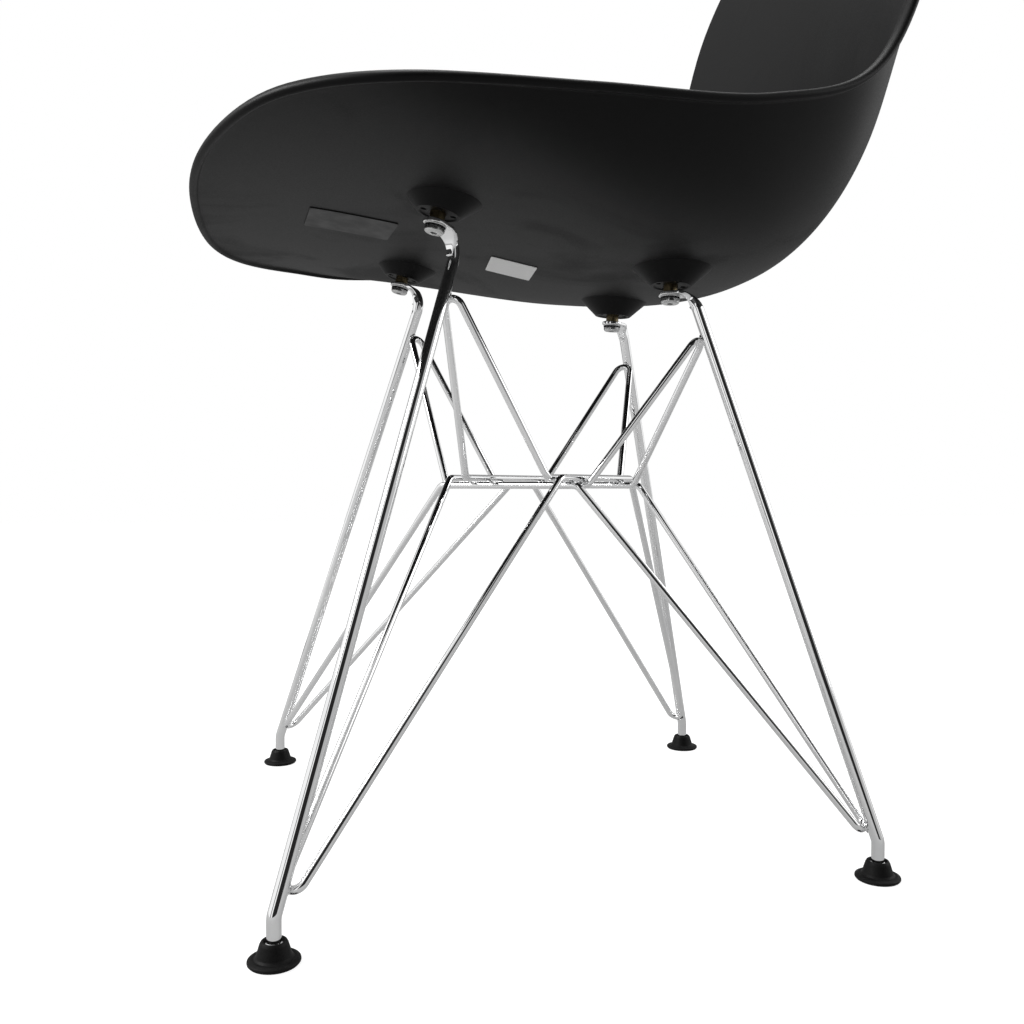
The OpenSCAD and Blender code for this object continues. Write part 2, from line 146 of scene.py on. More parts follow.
def mesh_object(name: str, points: Sequence, faces: Sequence, to_frame: Matrix = Matrix()) -> Thing:
    """Makes an object from points in millimetres, with its faces outwards.

    Args:
        name: name of the piece.
        points: corners, in the piece's own axes.
        faces: lists of corner numbers of a closed surface.
        to_frame: takes the piece's own axes to the chair's, in millimetres.

    Returns:
        The new object, linked to the scene, at the origin.
    """
    mesh = bpy.data.meshes.new(name)
    mesh.from_pydata([tuple(map(float, p)) for p in points], [], [tuple(map(int, f)) for f in faces])
    mesh.transform(Matrix.Scale(MM, 4) @ to_frame)
    co = np.empty(len(mesh.vertices) * 3)
    mesh.vertices.foreach_get("co", co)
    co = co.reshape(-1, 3)
    mesh.calc_loop_triangles()
    a, b, c = (co[[t.vertices[k] for t in mesh.loop_triangles]] for k in range(3))
    if np.einsum("ij,ij->i", a, np.cross(b, c)).sum() < 0:
        mesh.flip_normals()
    mesh.update()
    obj = bpy.data.objects.new(name, mesh)
    bpy.context.collection.objects.link(obj)
    return obj


def rings_to_faces(rows: int, count: int, close_rows: bool) -> list[tuple[int, ...]]:
    """Four-sided faces between rings of points.

    Args:
        rows: number of rings.
        count: points in each ring; a ring is always closed.
        close_rows: whether the last ring joins the first.

    Returns:
        The faces, for points listed ring by ring.
    """
    faces = []
    for i in range(rows if close_rows else rows - 1):
        a, b = i * count, (i + 1) % rows * count
        for k in range(count):
            m = (k + 1) % count
            faces.append((a + k, b + k, b + m, a + m))
    return faces


def end_fans(rows: int, count: int) -> list[tuple[int, ...]]:
    """Faces that close the first and the last ring to the two points listed after the rings."""
    last, end = (rows - 1) * count, rows * count
    faces = []
    for k in range(count):
        m = (k + 1) % count
        faces += [(end, k, m), (end + 1, last + m, last + k)]
    return faces


def lathe(name: str, profile: Sequence, sides: int, to_frame: Matrix = Matrix()) -> Thing:
    """Turns a profile round the Z axis.

    Args:
        name: name of the piece.
        profile: [radius, height] points; it starts and ends on the axis, or is
            closed on itself when it has no point on the axis.
        sides: faces round the axis.
        to_frame: takes the piece's own axes to the chair's.

    Returns:
        The closed object.
    """
    profile = [tuple(p) for p in profile]
    open_ends = profile[0][0] == 0
    rings = profile[1:-1] if open_ends else profile
    turn = [2 * math.pi * k / sides for k in range(sides)]
    points = [(r * math.cos(t), r * math.sin(t), z) for r, z in rings for t in turn]
    faces = rings_to_faces(len(rings), sides, not open_ends)
    if open_ends:
        points += [(0, 0, profile[0][1]), (0, 0, profile[-1][1])]
        faces += end_fans(len(rings), sides)
    return mesh_object(name, points, faces, to_frame)


def bake(obj: Thing) -> None:
    """Turns an object's live modifiers into plain mesh and removes them."""
    graph = bpy.context.evaluated_depsgraph_get()
    now = obj.evaluated_get(graph)
    mesh = bpy.data.meshes.new_from_object(now, preserve_all_data_layers=True, depsgraph=graph)
    mesh.name = obj.name
    obj.modifiers.clear()
    obj.data = mesh


def cut(obj: Thing, cutters: Sequence[Thing]) -> None:
    """Takes the cutters out of an object and deletes them."""
    for cutter in cutters:
        step = obj.modifiers.new("cut", "BOOLEAN")
        step.operation = "DIFFERENCE"
        step.solver = "EXACT"
        step.object = cutter
    bake(obj)
    for cutter in cutters:
        bpy.data.objects.remove(cutter)


def dress(obj: Thing, finish: "Finish", sharp: float = 38.0, replaces: Sequence[str] = ()) -> None:
    """Smooths a piece, gives it its finish, hangs it under the body's empty and hides the CAD nodes it
    stands for.

    Args:
        obj: the finished piece.
        finish: its finish.
        sharp: edges steeper than this many degrees stay sharp.
        replaces: CAD nodes that the piece stands for.
    """
    obj.data.materials.clear()
    obj.data.materials.append(finish.material())
    obj.data.shade_smooth()
    obj.data.set_sharp_from_angle(angle=math.radians(sharp))
    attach(obj, BODY)
    if replaces:
        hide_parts(*replaces)
    LOG.info("%s: %d faces", obj.name, len(obj.data.polygons))


# Node trees


class Graph:
    """Short way to add nodes to a tree and link them."""

    def __init__(self, tree: Tree) -> None:
        """Keeps the tree that the nodes go into."""
        self.tree = tree

    def feed(self, socket: Socket, value: Value) -> None:
        """Links a socket, or sets its value."""
        if isinstance(value, Socket):
            self.tree.links.new(value, socket)
        else:
            socket.default_value = value

    def add(self, kind: str, inputs: dict | None = None, **settings: object) -> Node:
        """Adds a node.

        Args:
            kind: the node's type name.
            inputs: values or sockets for its inputs, by name or number.
            settings: the node's own settings.

        Returns:
            The node.
        """
        node = self.tree.nodes.new(kind)
        for key, value in settings.items():
            setattr(node, key, value)
        for key, value in (inputs or {}).items():
            self.feed(node.inputs[key], value)
        return node

    def maths(self, operation: str, *values: Value) -> Socket:
        """Result of a Math node."""
        return self.add("ShaderNodeMath", dict(enumerate(values)), operation=operation).outputs[0]

    def noise(self, place: Socket, scale: Value, detail: float, **more: float) -> Socket:
        """Level of a noise texture."""
        named = {"Vector": place, "Scale": scale, "Detail": detail, **more}
        return self.add("ShaderNodeTexNoise", named).outputs[0]

    def own_place(self) -> Socket:
        """Object coordinates of the surface."""
        return self.add("ShaderNodeTexCoord").outputs["Object"]

    def ramp(
        self, value: Value, low: Value, high: Value, out_low: Value = 0.0, out_high: Value = 1.0
    ) -> Socket:
        """Smooth step of a value from low to high, put out between two values."""
        node = self.add(
            "ShaderNodeMapRange",
            {"Value": value, "From Min": low, "From Max": high, "To Min": out_low, "To Max": out_high},
            interpolation_type="SMOOTHSTEP",
        )
        return node.outputs[0]

    def mix(self, mask: Value, a: Value, b: Value) -> Socket:
        """Mix of two colours."""
        node = self.add("ShaderNodeMix", data_type="RGBA")
        self.feed(node.inputs["Factor"], mask)
        colours = [s for s in node.inputs if s.type == "RGBA"]
        self.feed(colours[0], a)
        self.feed(colours[1], b)
        return next(s for s in node.outputs if s.type == "RGBA")


class SharedGroup(Enum):
    """Effects that several finishes use, each built once as a node group."""

    GRAIN = "moulded_grain"
    MOTTLE = "slow_mottle"
    HANDLING = "handling_marks"
    BRUSHED = "fine_lines"

    def tree(self) -> Tree:
        """The group's node tree, built when it is first asked for."""
        known = bpy.data.node_groups.get(self.value)
        if known:
            return known
        tree = bpy.data.node_groups.new(self.value, "ShaderNodeTree")
        getattr(self, "_" + self.name.lower())(tree)
        return tree

    @staticmethod
    def _sockets(tree: Tree, inputs: dict[str, float], outputs: Sequence[str]) -> tuple:
        """Adds the group's named sockets and returns its input and output nodes."""
        for name, value in inputs.items():
            socket = tree.interface.new_socket(name, in_out="INPUT", socket_type="NodeSocketFloat")
            socket.default_value = value
        for name in outputs:
            tree.interface.new_socket(name, in_out="OUTPUT", socket_type="NodeSocketFloat")
        return tree.nodes.new("NodeGroupInput"), tree.nodes.new("NodeGroupOutput")

    def _grain(self, tree: Tree) -> None:
        """Pebbled surface of a mould: rounded cells broken up by noise."""
        given, out = self._sockets(tree, {"Scale": 900.0, "Break Up": 0.4}, ["Height", "Mask"])
        g, scale = Graph(tree), given.outputs["Scale"]
        place = g.own_place()
        cells = g.add("ShaderNodeTexVoronoi", {"Vector": place, "Scale": scale}, feature="SMOOTH_F1")
        fine = g.noise(place, scale, 3.0)
        domes = g.maths("SUBTRACT", 1.0, cells.outputs["Distance"])
        height = g.maths("MULTIPLY_ADD", fine, given.outputs["Break Up"], domes)
        g.feed(out.inputs["Height"], height)
        g.feed(out.inputs["Mask"], g.ramp(height, 0.5, 1.1))

    def _mottle(self, tree: Tree) -> None:
        """Slow variation over a surface."""
        given, out = self._sockets(tree, {"Scale": 12.0, "Contrast": 0.5}, ["Mask"])
        g = Graph(tree)
        cloud = g.noise(g.own_place(), given.outputs["Scale"], 4.0, Roughness=0.55)
        low = g.maths("SUBTRACT", 0.5, g.maths("MULTIPLY", given.outputs["Contrast"], 0.5))
        g.feed(out.inputs["Mask"], g.ramp(cloud, low, g.maths("SUBTRACT", 1.0, low)))

    def _handling(self, tree: Tree) -> None:
        """Smudges left by hands, with a few short scratches."""
        scales = {"Smudge Scale": 14.0, "Scratch Scale": 60.0}
        given, out = self._sockets(tree, scales, ["Smudges", "Scratches"])
        g, wide = Graph(tree), given.outputs["Smudge Scale"]
        place = g.own_place()
        g.feed(out.inputs["Smudges"], g.ramp(g.noise(place, wide, 6.0, Distortion=0.8), 0.48, 0.72))
        slanted = {"Vector": place, "Rotation": (0.4, 0.9, 0.3), "Scale": (1.0, 14.0, 1.0)}
        turned = g.add("ShaderNodeMapping", slanted).outputs[0]
        line = g.ramp(g.noise(turned, given.outputs["Scratch Scale"], 1.0), 0.66, 0.74)
        patch = g.ramp(g.noise(place, wide, 1.0), 0.5, 0.6)
        g.feed(out.inputs["Scratches"], g.maths("MULTIPLY", line, patch))

    def _brushed(self, tree: Tree) -> None:
        """Fine drawing and polishing lines along Z."""
        given, out = self._sockets(tree, {"Scale": 400.0, "Stretch": 0.03}, ["Height"])
        g = Graph(tree)
        stretch = g.add("ShaderNodeCombineXYZ", {0: 1.0, 1: 1.0, 2: given.outputs["Stretch"]}).outputs[0]
        drawn = g.add("ShaderNodeVectorMath", {0: g.own_place(), 1: stretch}, operation="MULTIPLY")
        g.feed(out.inputs["Height"], g.noise(drawn.outputs[0], given.outputs["Scale"], 3.0))


def shared(g: Graph, group: SharedGroup, inputs: dict[str, float]) -> Node:
    """Places a shared effect in a material with the material's own values."""
    node = g.add("ShaderNodeGroup", node_tree=group.tree())
    for name, value in inputs.items():
        g.feed(node.inputs[name], value)
    return node


# Finishes


@dataclass(frozen=True)
class Finish:
    """A finish: its name, its slot in the record and how it is shaded."""

    name: str
    slot: str
    colour: Colour
    second: Colour
    rough: Span
    metallic: float = 0.0
    specular: float = 0.5
    mottle: float = 12.0

    def material(self) -> bpy.types.Material:
        """The material, built when it is first asked for."""
        known = bpy.data.materials.get(self.name)
        if known:
            return known
        material = bpy.data.materials.new(self.name)
        material.use_nodes = True
        material.node_tree.nodes.clear()
        g = Graph(material.node_tree)
        plain = {"Metallic": self.metallic, "Specular IOR Level": self.specular}
        shader = g.add("ShaderNodeBsdfPrincipled", plain)
        self.shade(g, shader)
        g.add("ShaderNodeOutputMaterial", {"Surface": shader.outputs[0]})
        material.diffuse_color = (*self.colour, 1.0)
        return material

    def tint(self, g: Graph, shader: Node, mask: Value) -> None:
        """Mixes the finish's two colours into the base colour."""
        g.feed(shader.inputs["Base Color"], g.mix(mask, (*self.colour, 1.0), (*self.second, 1.0)))

    @staticmethod
    def bump(g: Graph, shader: Node, height: Value, strength: float, distance: float) -> None:
        """Feeds a height into the shader's normal."""
        bump = g.add("ShaderNodeBump", {"Strength": strength, "Distance": distance, "Height": height})
        g.feed(shader.inputs["Normal"], bump.outputs[0])

    def shade(self, g: Graph, shader: Node) -> None:
        """Adds the nodes of the finish; each kind of finish does this its own way."""
        raise NotImplementedError

    @staticmethod
    def blend(g: Graph, a: Value, b: Value, share: float) -> Socket:
        """Sum of two masks, of which the first has a share."""
        return g.maths("MULTIPLY_ADD", a, share, g.maths("MULTIPLY", b, 1 - share))


@dataclass(frozen=True)
class MouldedPlastic(Finish):
    """Black injection-moulded plastic with a fine pebbled grain."""

    grain: float = 1400.0
    grain_depth: float = 0.00006

    def shade(self, g: Graph, shader: Node) -> None:
        """Grain bump, slow colour flow, and smudges that change the gloss."""
        grain = shared(g, SharedGroup.GRAIN, {"Scale": self.grain, "Break Up": 0.5})
        flow = shared(g, SharedGroup.MOTTLE, {"Scale": self.mottle, "Contrast": 0.7})
        marks = shared(g, SharedGroup.HANDLING, {"Smudge Scale": 9.0, "Scratch Scale": 45.0})
        self.tint(g, shader, self.blend(g, grain.outputs["Mask"], flow.outputs["Mask"], 0.35))
        gloss = self.blend(g, marks.outputs["Smudges"], grain.outputs["Mask"], 0.6)
        g.feed(shader.inputs["Roughness"], g.ramp(gloss, 0.0, 1.0, *self.rough))
        depth = g.maths("MULTIPLY", marks.outputs["Scratches"], 0.5)
        height = g.maths("SUBTRACT", grain.outputs["Height"], depth)
        self.bump(g, shader, height, 0.35, self.grain_depth)


@dataclass(frozen=True)
class Chrome(Finish):
    """Bright chrome over drawn wire: mirror-like, with faint lines and hand marks."""

    lines: float = 500.0

    def shade(self, g: Graph, shader: Node) -> None:
        """Hand marks dull the mirror, and faint drawing lines run along the rods."""
        marks = shared(g, SharedGroup.HANDLING, {"Smudge Scale": 22.0, "Scratch Scale": 120.0})
        flow = shared(g, SharedGroup.MOTTLE, {"Scale": self.mottle, "Contrast": 0.6})
        lines = shared(g, SharedGroup.BRUSHED, {"Scale": self.lines, "Stretch": 0.02})
        self.tint(g, shader, flow.outputs["Mask"])
        dull = g.maths("MAXIMUM", marks.outputs["Smudges"], marks.outputs["Scratches"])
        g.feed(shader.inputs["Roughness"], g.ramp(dull, 0.0, 1.0, *self.rough))
        self.bump(g, shader, lines.outputs["Height"], 0.05, 0.00002)


@dataclass(frozen=True)
class PlatedSteel(Finish):
    """Plated or blackened small parts: cloudy film over fine scratches."""

    cloud_depth: float = 0.00003

    def shade(self, g: Graph, shader: Node) -> None:
        """Cloudy plating with handling marks and a slightly uneven surface."""
        cloud = shared(g, SharedGroup.MOTTLE, {"Scale": self.mottle, "Contrast": 0.8})
        marks = shared(g, SharedGroup.HANDLING, {"Smudge Scale": 160.0, "Scratch Scale": 700.0})
        grain = shared(g, SharedGroup.GRAIN, {"Scale": self.mottle * 12, "Break Up": 0.8})
        self.tint(g, shader, cloud.outputs["Mask"])
        dull = self.blend(g, marks.outputs["Scratches"], cloud.outputs["Mask"], 0.5)
        g.feed(shader.inputs["Roughness"], g.ramp(dull, 0.0, 1.0, *self.rough))
        self.bump(g, shader, grain.outputs["Height"], 0.2, self.cloud_depth)


@dataclass(frozen=True)
class SoftFoot(Finish):
    """Black glide plastic, dusty and rubbed near the floor."""

    worn: Colour = (0.02, 0.0195, 0.019)
    worn_height: float = 0.0032

    def shade(self, g: Graph, shader: Node) -> None:
        """Grain everywhere, and a paler rubbed band near the floor."""
        height = g.add("ShaderNodeSeparateXYZ", {0: g.own_place()}).outputs["Z"]
        grain = shared(g, SharedGroup.GRAIN, {"Scale": 1600.0, "Break Up": 0.7})
        dust = shared(g, SharedGroup.MOTTLE, {"Scale": self.mottle, "Contrast": 0.9})
        low = g.ramp(height, 0.0, self.worn_height, 1.0, 0.0)
        rubbed = g.maths("MULTIPLY", low, dust.outputs["Mask"])
        plain = g.mix(grain.outputs["Mask"], (*self.colour, 1.0), (*self.second, 1.0))
        g.feed(shader.inputs["Base Color"], g.mix(rubbed, plain, (*self.worn, 1.0)))
        g.feed(shader.inputs["Roughness"], g.ramp(dust.outputs["Mask"], 0.0, 1.0, *self.rough))
        self.bump(g, shader, grain.outputs["Height"], 0.4, 0.00005)


@dataclass(frozen=True)
class Sticker(Finish):
    """Blank stuck-on label: coated paper or film with fibres and tiny bubbles."""

    fibre: float = 900.0

    def shade(self, g: Graph, shader: Node) -> None:
        """Fibre tint and a faint unevenness from the surface beneath."""
        fibre = shared(g, SharedGroup.GRAIN, {"Scale": self.fibre, "Break Up": 1.0})
        aged = shared(g, SharedGroup.MOTTLE, {"Scale": self.mottle, "Contrast": 0.7})
        self.tint(g, shader, self.blend(g, fibre.outputs["Mask"], aged.outputs["Mask"], 0.3))
        g.feed(shader.inputs["Roughness"], g.ramp(aged.outputs["Mask"], 0.0, 1.0, *self.rough))
        uneven = g.maths("ADD", fibre.outputs["Height"], aged.outputs["Mask"])
        self.bump(g, shader, uneven, 0.25, 0.00005)


SHELL = MouldedPlastic(
    "shell_black_plastic", "shell_plastic", colour=(0.0036, 0.0036, 0.0038), second=(0.006, 0.006, 0.006),
    rough=(0.42, 0.58), specular=0.105, mottle=5.0,
)
CHROME = Chrome(
    "bright_chrome", "chrome", colour=(0.86, 0.865, 0.87), second=(0.92, 0.92, 0.92),
    rough=(0.02, 0.08), metallic=1.0, mottle=30.0,
)
WELD = PlatedSteel(
    "chromed_weld", "chrome", colour=(0.78, 0.78, 0.79), second=(0.88, 0.88, 0.88),
    rough=(0.12, 0.32), metallic=1.0, mottle=220.0,
)
BOLT_ZINC = PlatedSteel(
    "fastener_zinc", "zinc_fastener", colour=(0.5, 0.505, 0.51), second=(0.66, 0.66, 0.65),
    rough=(0.16, 0.34), metallic=1.0, mottle=140.0,
)
LOCK_STEEL = PlatedSteel(
    "blackened_steel", "lock_washer_steel", colour=(0.05, 0.05, 0.052), second=(0.11, 0.11, 0.115),
    rough=(0.3, 0.5), metallic=0.9, mottle=160.0,
)
# Insert brass: its colour is written much darker than real brass, as painted shade for the dim recess in the
# boss's end.
BRASS_DARKENED_AS_SHADE = PlatedSteel(
    "insert_brass_painted_shade", "insert_brass", colour=(0.11, 0.088, 0.05), second=(0.17, 0.135, 0.075),
    rough=(0.3, 0.5), metallic=1.0, mottle=110.0,
)
GLIDE = SoftFoot(
    "glide_black_plastic", "glide_plastic", colour=(0.0035, 0.0035, 0.0035), second=(0.007, 0.007, 0.007),
    rough=(0.4, 0.6), specular=0.1, mottle=90.0,
)
PALE_STICKER = Sticker(
    "pale_blank_sticker", "pale_label", colour=(0.88, 0.88, 0.87), second=(0.94, 0.94, 0.93),
    rough=(0.35, 0.5), specular=0.5, mottle=60.0,
)
DARK_STICKER = Sticker(
    "dark_blank_sticker", "dark_label", colour=(0.012, 0.012, 0.0125), second=(0.02, 0.02, 0.02),
    rough=(0.4, 0.55), specular=0.26, mottle=60.0,
)


# Geometry nodes


class Repeat:
    """Geometry node trees for what repeats or follows a path."""

    _trees: dict[str, tuple[Tree, dict[str, str]]] = {}

    @classmethod
    def _start(cls, name: str, inputs: dict[str, str]) -> tuple:
        """Begins a tree with a geometry input and output and the named inputs."""
        tree = bpy.data.node_groups.new(name, "GeometryNodeTree")
        tree.is_modifier = True
        tree.interface.new_socket("Geometry", in_out="INPUT", socket_type="NodeSocketGeometry")
        ids = {}
        for label, kind in inputs.items():
            socket = tree.interface.new_socket(label, in_out="INPUT", socket_type="NodeSocket" + kind)
            ids[label] = socket.identifier
        tree.interface.new_socket("Geometry", in_out="OUTPUT", socket_type="NodeSocketGeometry")
        cls._trees[name] = (tree, ids)
        return Graph(tree), tree.nodes.new("NodeGroupInput"), tree.nodes.new("NodeGroupOutput")

    @classmethod
    def _end(cls, g: Graph, geometry: Socket, given: Node, out: Node) -> None:
        """Ends a tree in real geometry with the given finish."""
        real = g.add("GeometryNodeRealizeInstances", {0: geometry}).outputs[0]
        painted = g.add("GeometryNodeSetMaterial", {"Geometry": real, "Material": given.outputs["Finish"]})
        g.feed(out.inputs[0], painted.outputs[0])

    @classmethod
    def swept_bar(cls) -> str:
        """Round bar along a path of edges."""
        if "swept_bar" not in cls._trees:
            inputs = {"Diameter": "Float", "Sides": "Int", "Finish": "Material"}
            g, given, out = cls._start("swept_bar", inputs)
            path = g.add("GeometryNodeMeshToCurve", {0: given.outputs["Geometry"]}).outputs[0]
            size = {
                "Resolution": given.outputs["Sides"],
                "Radius": g.maths("MULTIPLY", given.outputs["Diameter"], 0.5),
            }
            ring = g.add("GeometryNodeCurvePrimitiveCircle", size).outputs[0]
            bar = g.add("GeometryNodeCurveToMesh", {"Curve": path, "Profile Curve": ring})
            cls._end(g, bar.outputs[0], given, out)
        return "swept_bar"

    @classmethod
    def ring_of_teeth(cls) -> str:
        """Blocks set round the Z axis, added to the piece they are given."""
        if "ring_of_teeth" not in cls._trees:
            inputs = {
                "Count": "Int", "Radius": "Float", "Size": "Vector", "Twist": "Float", "Level": "Float",
                "Finish": "Material",
            }
            g, given, out = cls._start("ring_of_teeth", inputs)
            size = {"Vertices": given.outputs["Count"], "Radius": given.outputs["Radius"]}
            ring = g.add("GeometryNodeMeshCircle", size).outputs[0]
            lift = g.add("ShaderNodeCombineXYZ", {0: 0.0, 1: 0.0, 2: given.outputs["Level"]}).outputs[0]
            raised = g.add("GeometryNodeTransform", {"Geometry": ring, "Translation": lift})
            place = g.add("ShaderNodeSeparateXYZ", {0: g.add("GeometryNodeInputPosition").outputs[0]})
            angle = g.maths("ARCTAN2", place.outputs["Y"], place.outputs["X"])
            turn = g.add("ShaderNodeCombineXYZ", {0: given.outputs["Twist"], 1: 0.0, 2: angle})
            tooth = g.add("GeometryNodeMeshCube", {"Size": given.outputs["Size"]})
            teeth = g.add(
                "GeometryNodeInstanceOnPoints",
                {"Points": raised.outputs[0], "Instance": tooth.outputs[0], "Rotation": turn.outputs[0]},
            )
            joined = g.add("GeometryNodeJoinGeometry")
            g.feed(joined.inputs[0], teeth.outputs[0])
            g.feed(joined.inputs[0], given.outputs["Geometry"])
            cls._end(g, joined.outputs[0], given, out)
        return "ring_of_teeth"

    @classmethod
    def apply(cls, obj: Thing, tree_name: str, values: dict[str, object]) -> None:
        """Runs a tree on an object and keeps the result as plain mesh.

        Args:
            obj: the object whose mesh the tree starts from.
            tree_name: the tree, as one of the methods above returns it.
            values: the tree's inputs by their names.
        """
        tree, ids = cls._trees[tree_name]
        step = obj.modifiers.new(tree_name, "NODES")
        step.node_group = tree
        for label, value in values.items():
            step[ids[label]] = value
        bake(obj)


def closed_wire(name: str, path: np.ndarray, diameter: float, sides: int, finish: Finish) -> Thing:
    """Round bar along a path that comes back to its start.

    Args:
        name: name of the piece.
        path: points in millimetres in the chair's frame.
        diameter: of the bar.
        sides: faces round the bar.
        finish: the bar's finish.

    Returns:
        The bar.
    """
    mesh = bpy.data.meshes.new(name)
    count = len(path)
    edges = [(i, (i + 1) % count) for i in range(count)]
    mesh.from_pydata([tuple(p * MM) for p in path], edges, [])
    obj = bpy.data.objects.new(name, mesh)
    bpy.context.collection.objects.link(obj)
    values = {"Diameter": diameter * MM, "Sides": sides, "Finish": finish.material()}
    Repeat.apply(obj, Repeat.swept_bar(), values)
    return obj


# The seat shell


@dataclass
class SeatShell:
    """Bucket shell with a rolled rim, drawn from stations between the front edge and the top."""

    seat_w: float = 470
    waist_w: float = 390
    back_w: float = 404
    front_z: float = 436
    seat_z: float = 403
    rim_z: float = 450
    top_z: float = 816
    front_y: float = -231
    seat_d: float = 446
    back_lean: float = 72
    wall: float = 5
    lip_r: float = 7.5
    lip_turn: float = math.radians(65)
    outline_power: float = 4.6
    outline_crowd: float = 0.6
    columns: int = 288
    rings: int = 40
    lip_steps: int = 9
    edge_steps: int = 7
    outline_steps: int = 96
    tries: int = 14
    rises: tuple = (2, 3, 3.6, 3.3, 2.3, 2.1, 1.7, 1.9, 2)
    middle_y: float = field(init=False, default=0.0)

    def __post_init__(self) -> None:
        """Works out the stations, and where the middle of the chair is."""
        back_y = self.front_y + self.seat_d
        top_y = back_y + self.back_lean
        self.centre_line = [
            [self.front_y, self.front_z], [self.front_y + 63, self.front_z + 3], [-61, self.seat_z + 23],
            [63, self.seat_z], [back_y - 53, self.seat_z + 4], [back_y, self.seat_z + 62],
            [back_y + 7, self.seat_z + 158], [back_y + 33, self.seat_z + 273], [top_y, self.top_z],
        ]
        self.rim_line = [
            [self.front_y + 23, self.rim_z - 3], [self.front_y + 60, self.rim_z - 1], [-116, self.rim_z - 2],
            [-20, self.rim_z], [back_y - 133, self.rim_z + 9], [back_y - 61, self.rim_z + 40],
            [back_y - 26, self.rim_z + 123], [back_y + 2, self.rim_z + 238], [top_y - 26, self.top_z - 6],
        ]
        self.half_widths = np.array([
            self.seat_w - 56, self.seat_w - 24, self.seat_w, self.seat_w - 18, self.waist_w + 32,
            self.waist_w, self.waist_w, self.back_w, self.back_w - 8,
        ]) / 2
        y = self.surface()[0][:, 1]
        self.middle_y = float(y.min() + y.max()) / 2

    def skin(self, u: np.ndarray, v: np.ndarray) -> np.ndarray:
        """Points of the sitting face: u from rim to rim, v from front to top."""
        u, v = np.broadcast_arrays(np.asarray(u, float), np.asarray(v, float))
        centre, rim = spline(self.centre_line, v), spline(self.rim_line, v)
        side = centre + (rim - centre) * (np.abs(u) ** spline(self.rises, v))[..., None]
        return np.stack([spline(self.half_widths, v) * u, side[..., 0], side[..., 1]], -1)

    def normal(self, u: np.ndarray, v: np.ndarray, e: float = 0.001) -> np.ndarray:
        """Directions square to the sitting face, towards the sitter."""
        v = np.asarray(v, float)
        across = self.skin(u + e, v) - self.skin(u - e, v)
        along = self.skin(u, np.minimum(1, v + e)) - self.skin(u, np.maximum(0, v - e))
        return unit(np.cross(across, along))

    def underside(self, u: np.ndarray, v: np.ndarray) -> np.ndarray:
        """Points of the face underneath and behind."""
        return self.skin(u, v) - self.normal(u, v) * self.wall

    def outline(self, turn: np.ndarray, rho: float) -> tuple[np.ndarray, np.ndarray]:
        """The [u, v] of the outline in each direction, drawn in towards the middle by rho."""
        s, c = np.sin(turn), self.outline_crowd * np.cos(turn)
        power = self.outline_power
        r = rho * (np.abs(s) ** power + np.abs(c) ** power) ** (-1 / power)
        return r * s, 0.5 - 0.5 * r * c

    def above(self, x: float, y: float) -> Span:
        """Finds the [u, v] of the shell above a place on the floor."""
        v, e = 0.3, 0.001
        for _ in range(self.tries):
            u = x / spline(self.half_widths, v)
            now = self.skin(u, v)[1]
            v = v + (y - now) / ((self.skin(u, v + e)[1] - now) / e)
        return float(x / spline(self.half_widths, v)), float(v)

    def surface(self) -> tuple[np.ndarray, list]:
        """Points and faces of the whole shell, before it is centred."""
        turn = 2 * math.pi * np.arange(self.columns) / self.columns
        step = 2 * math.pi / self.outline_steps
        q, near, far = self.outline(turn, 1), self.outline(turn - step, 1), self.outline(turn + step, 1)
        rim, up = self.skin(*q), self.normal(*q)
        out = np.cross(unit(self.skin(*far) - self.skin(*near)), up)
        rhos = np.linspace(0, 1, self.rings + 1)[1:]

        def lip(a: float) -> np.ndarray:
            """Outer face of the rolled rim after a turn of a."""
            return rim + self.lip_r * (out * math.sin(a) - up * (1 - math.cos(a)))

        rows = [self.skin(*self.outline(turn, rho)) for rho in rhos]
        turns = [self.lip_turn * k / self.lip_steps for k in range(1, self.lip_steps + 1)]
        rows += [lip(a) for a in turns]
        t = self.lip_turn
        face, edge = up * math.cos(t) + out * math.sin(t), out * math.cos(t) - up * math.sin(t)
        for k in range(1, self.edge_steps + 1):
            a = math.pi * k / (self.edge_steps + 1)
            round_edge = face * math.cos(a) + edge * math.sin(a)
            rows.append(lip(t) - face * self.wall / 2 + round_edge * self.wall / 2)
        rows += [lip(a) - (up * math.cos(a) + out * math.sin(a)) * self.wall for a in reversed(turns)]
        rows += [self.underside(*self.outline(turn, rho)) for rho in rhos[::-1]]
        points = np.concatenate(rows + [self.skin(0, 0.5)[None], self.underside(0, 0.5)[None]])
        faces = rings_to_faces(len(rows), self.columns, False)
        return points, faces + end_fans(len(rows), self.columns)

    def centred(self, points: np.ndarray) -> np.ndarray:
        """Points moved so that the chair's middle is over the origin."""
        return np.asarray(points, float) - np.array([0, self.middle_y, 0])

    def build(self) -> None:
        """Makes the shell and puts it in place of its CAD solid."""
        points, faces = self.surface()
        shell = mesh_object("shell_moulding", self.centred(points), faces)
        dress(shell, SHELL, 60, ["seat_shell"])


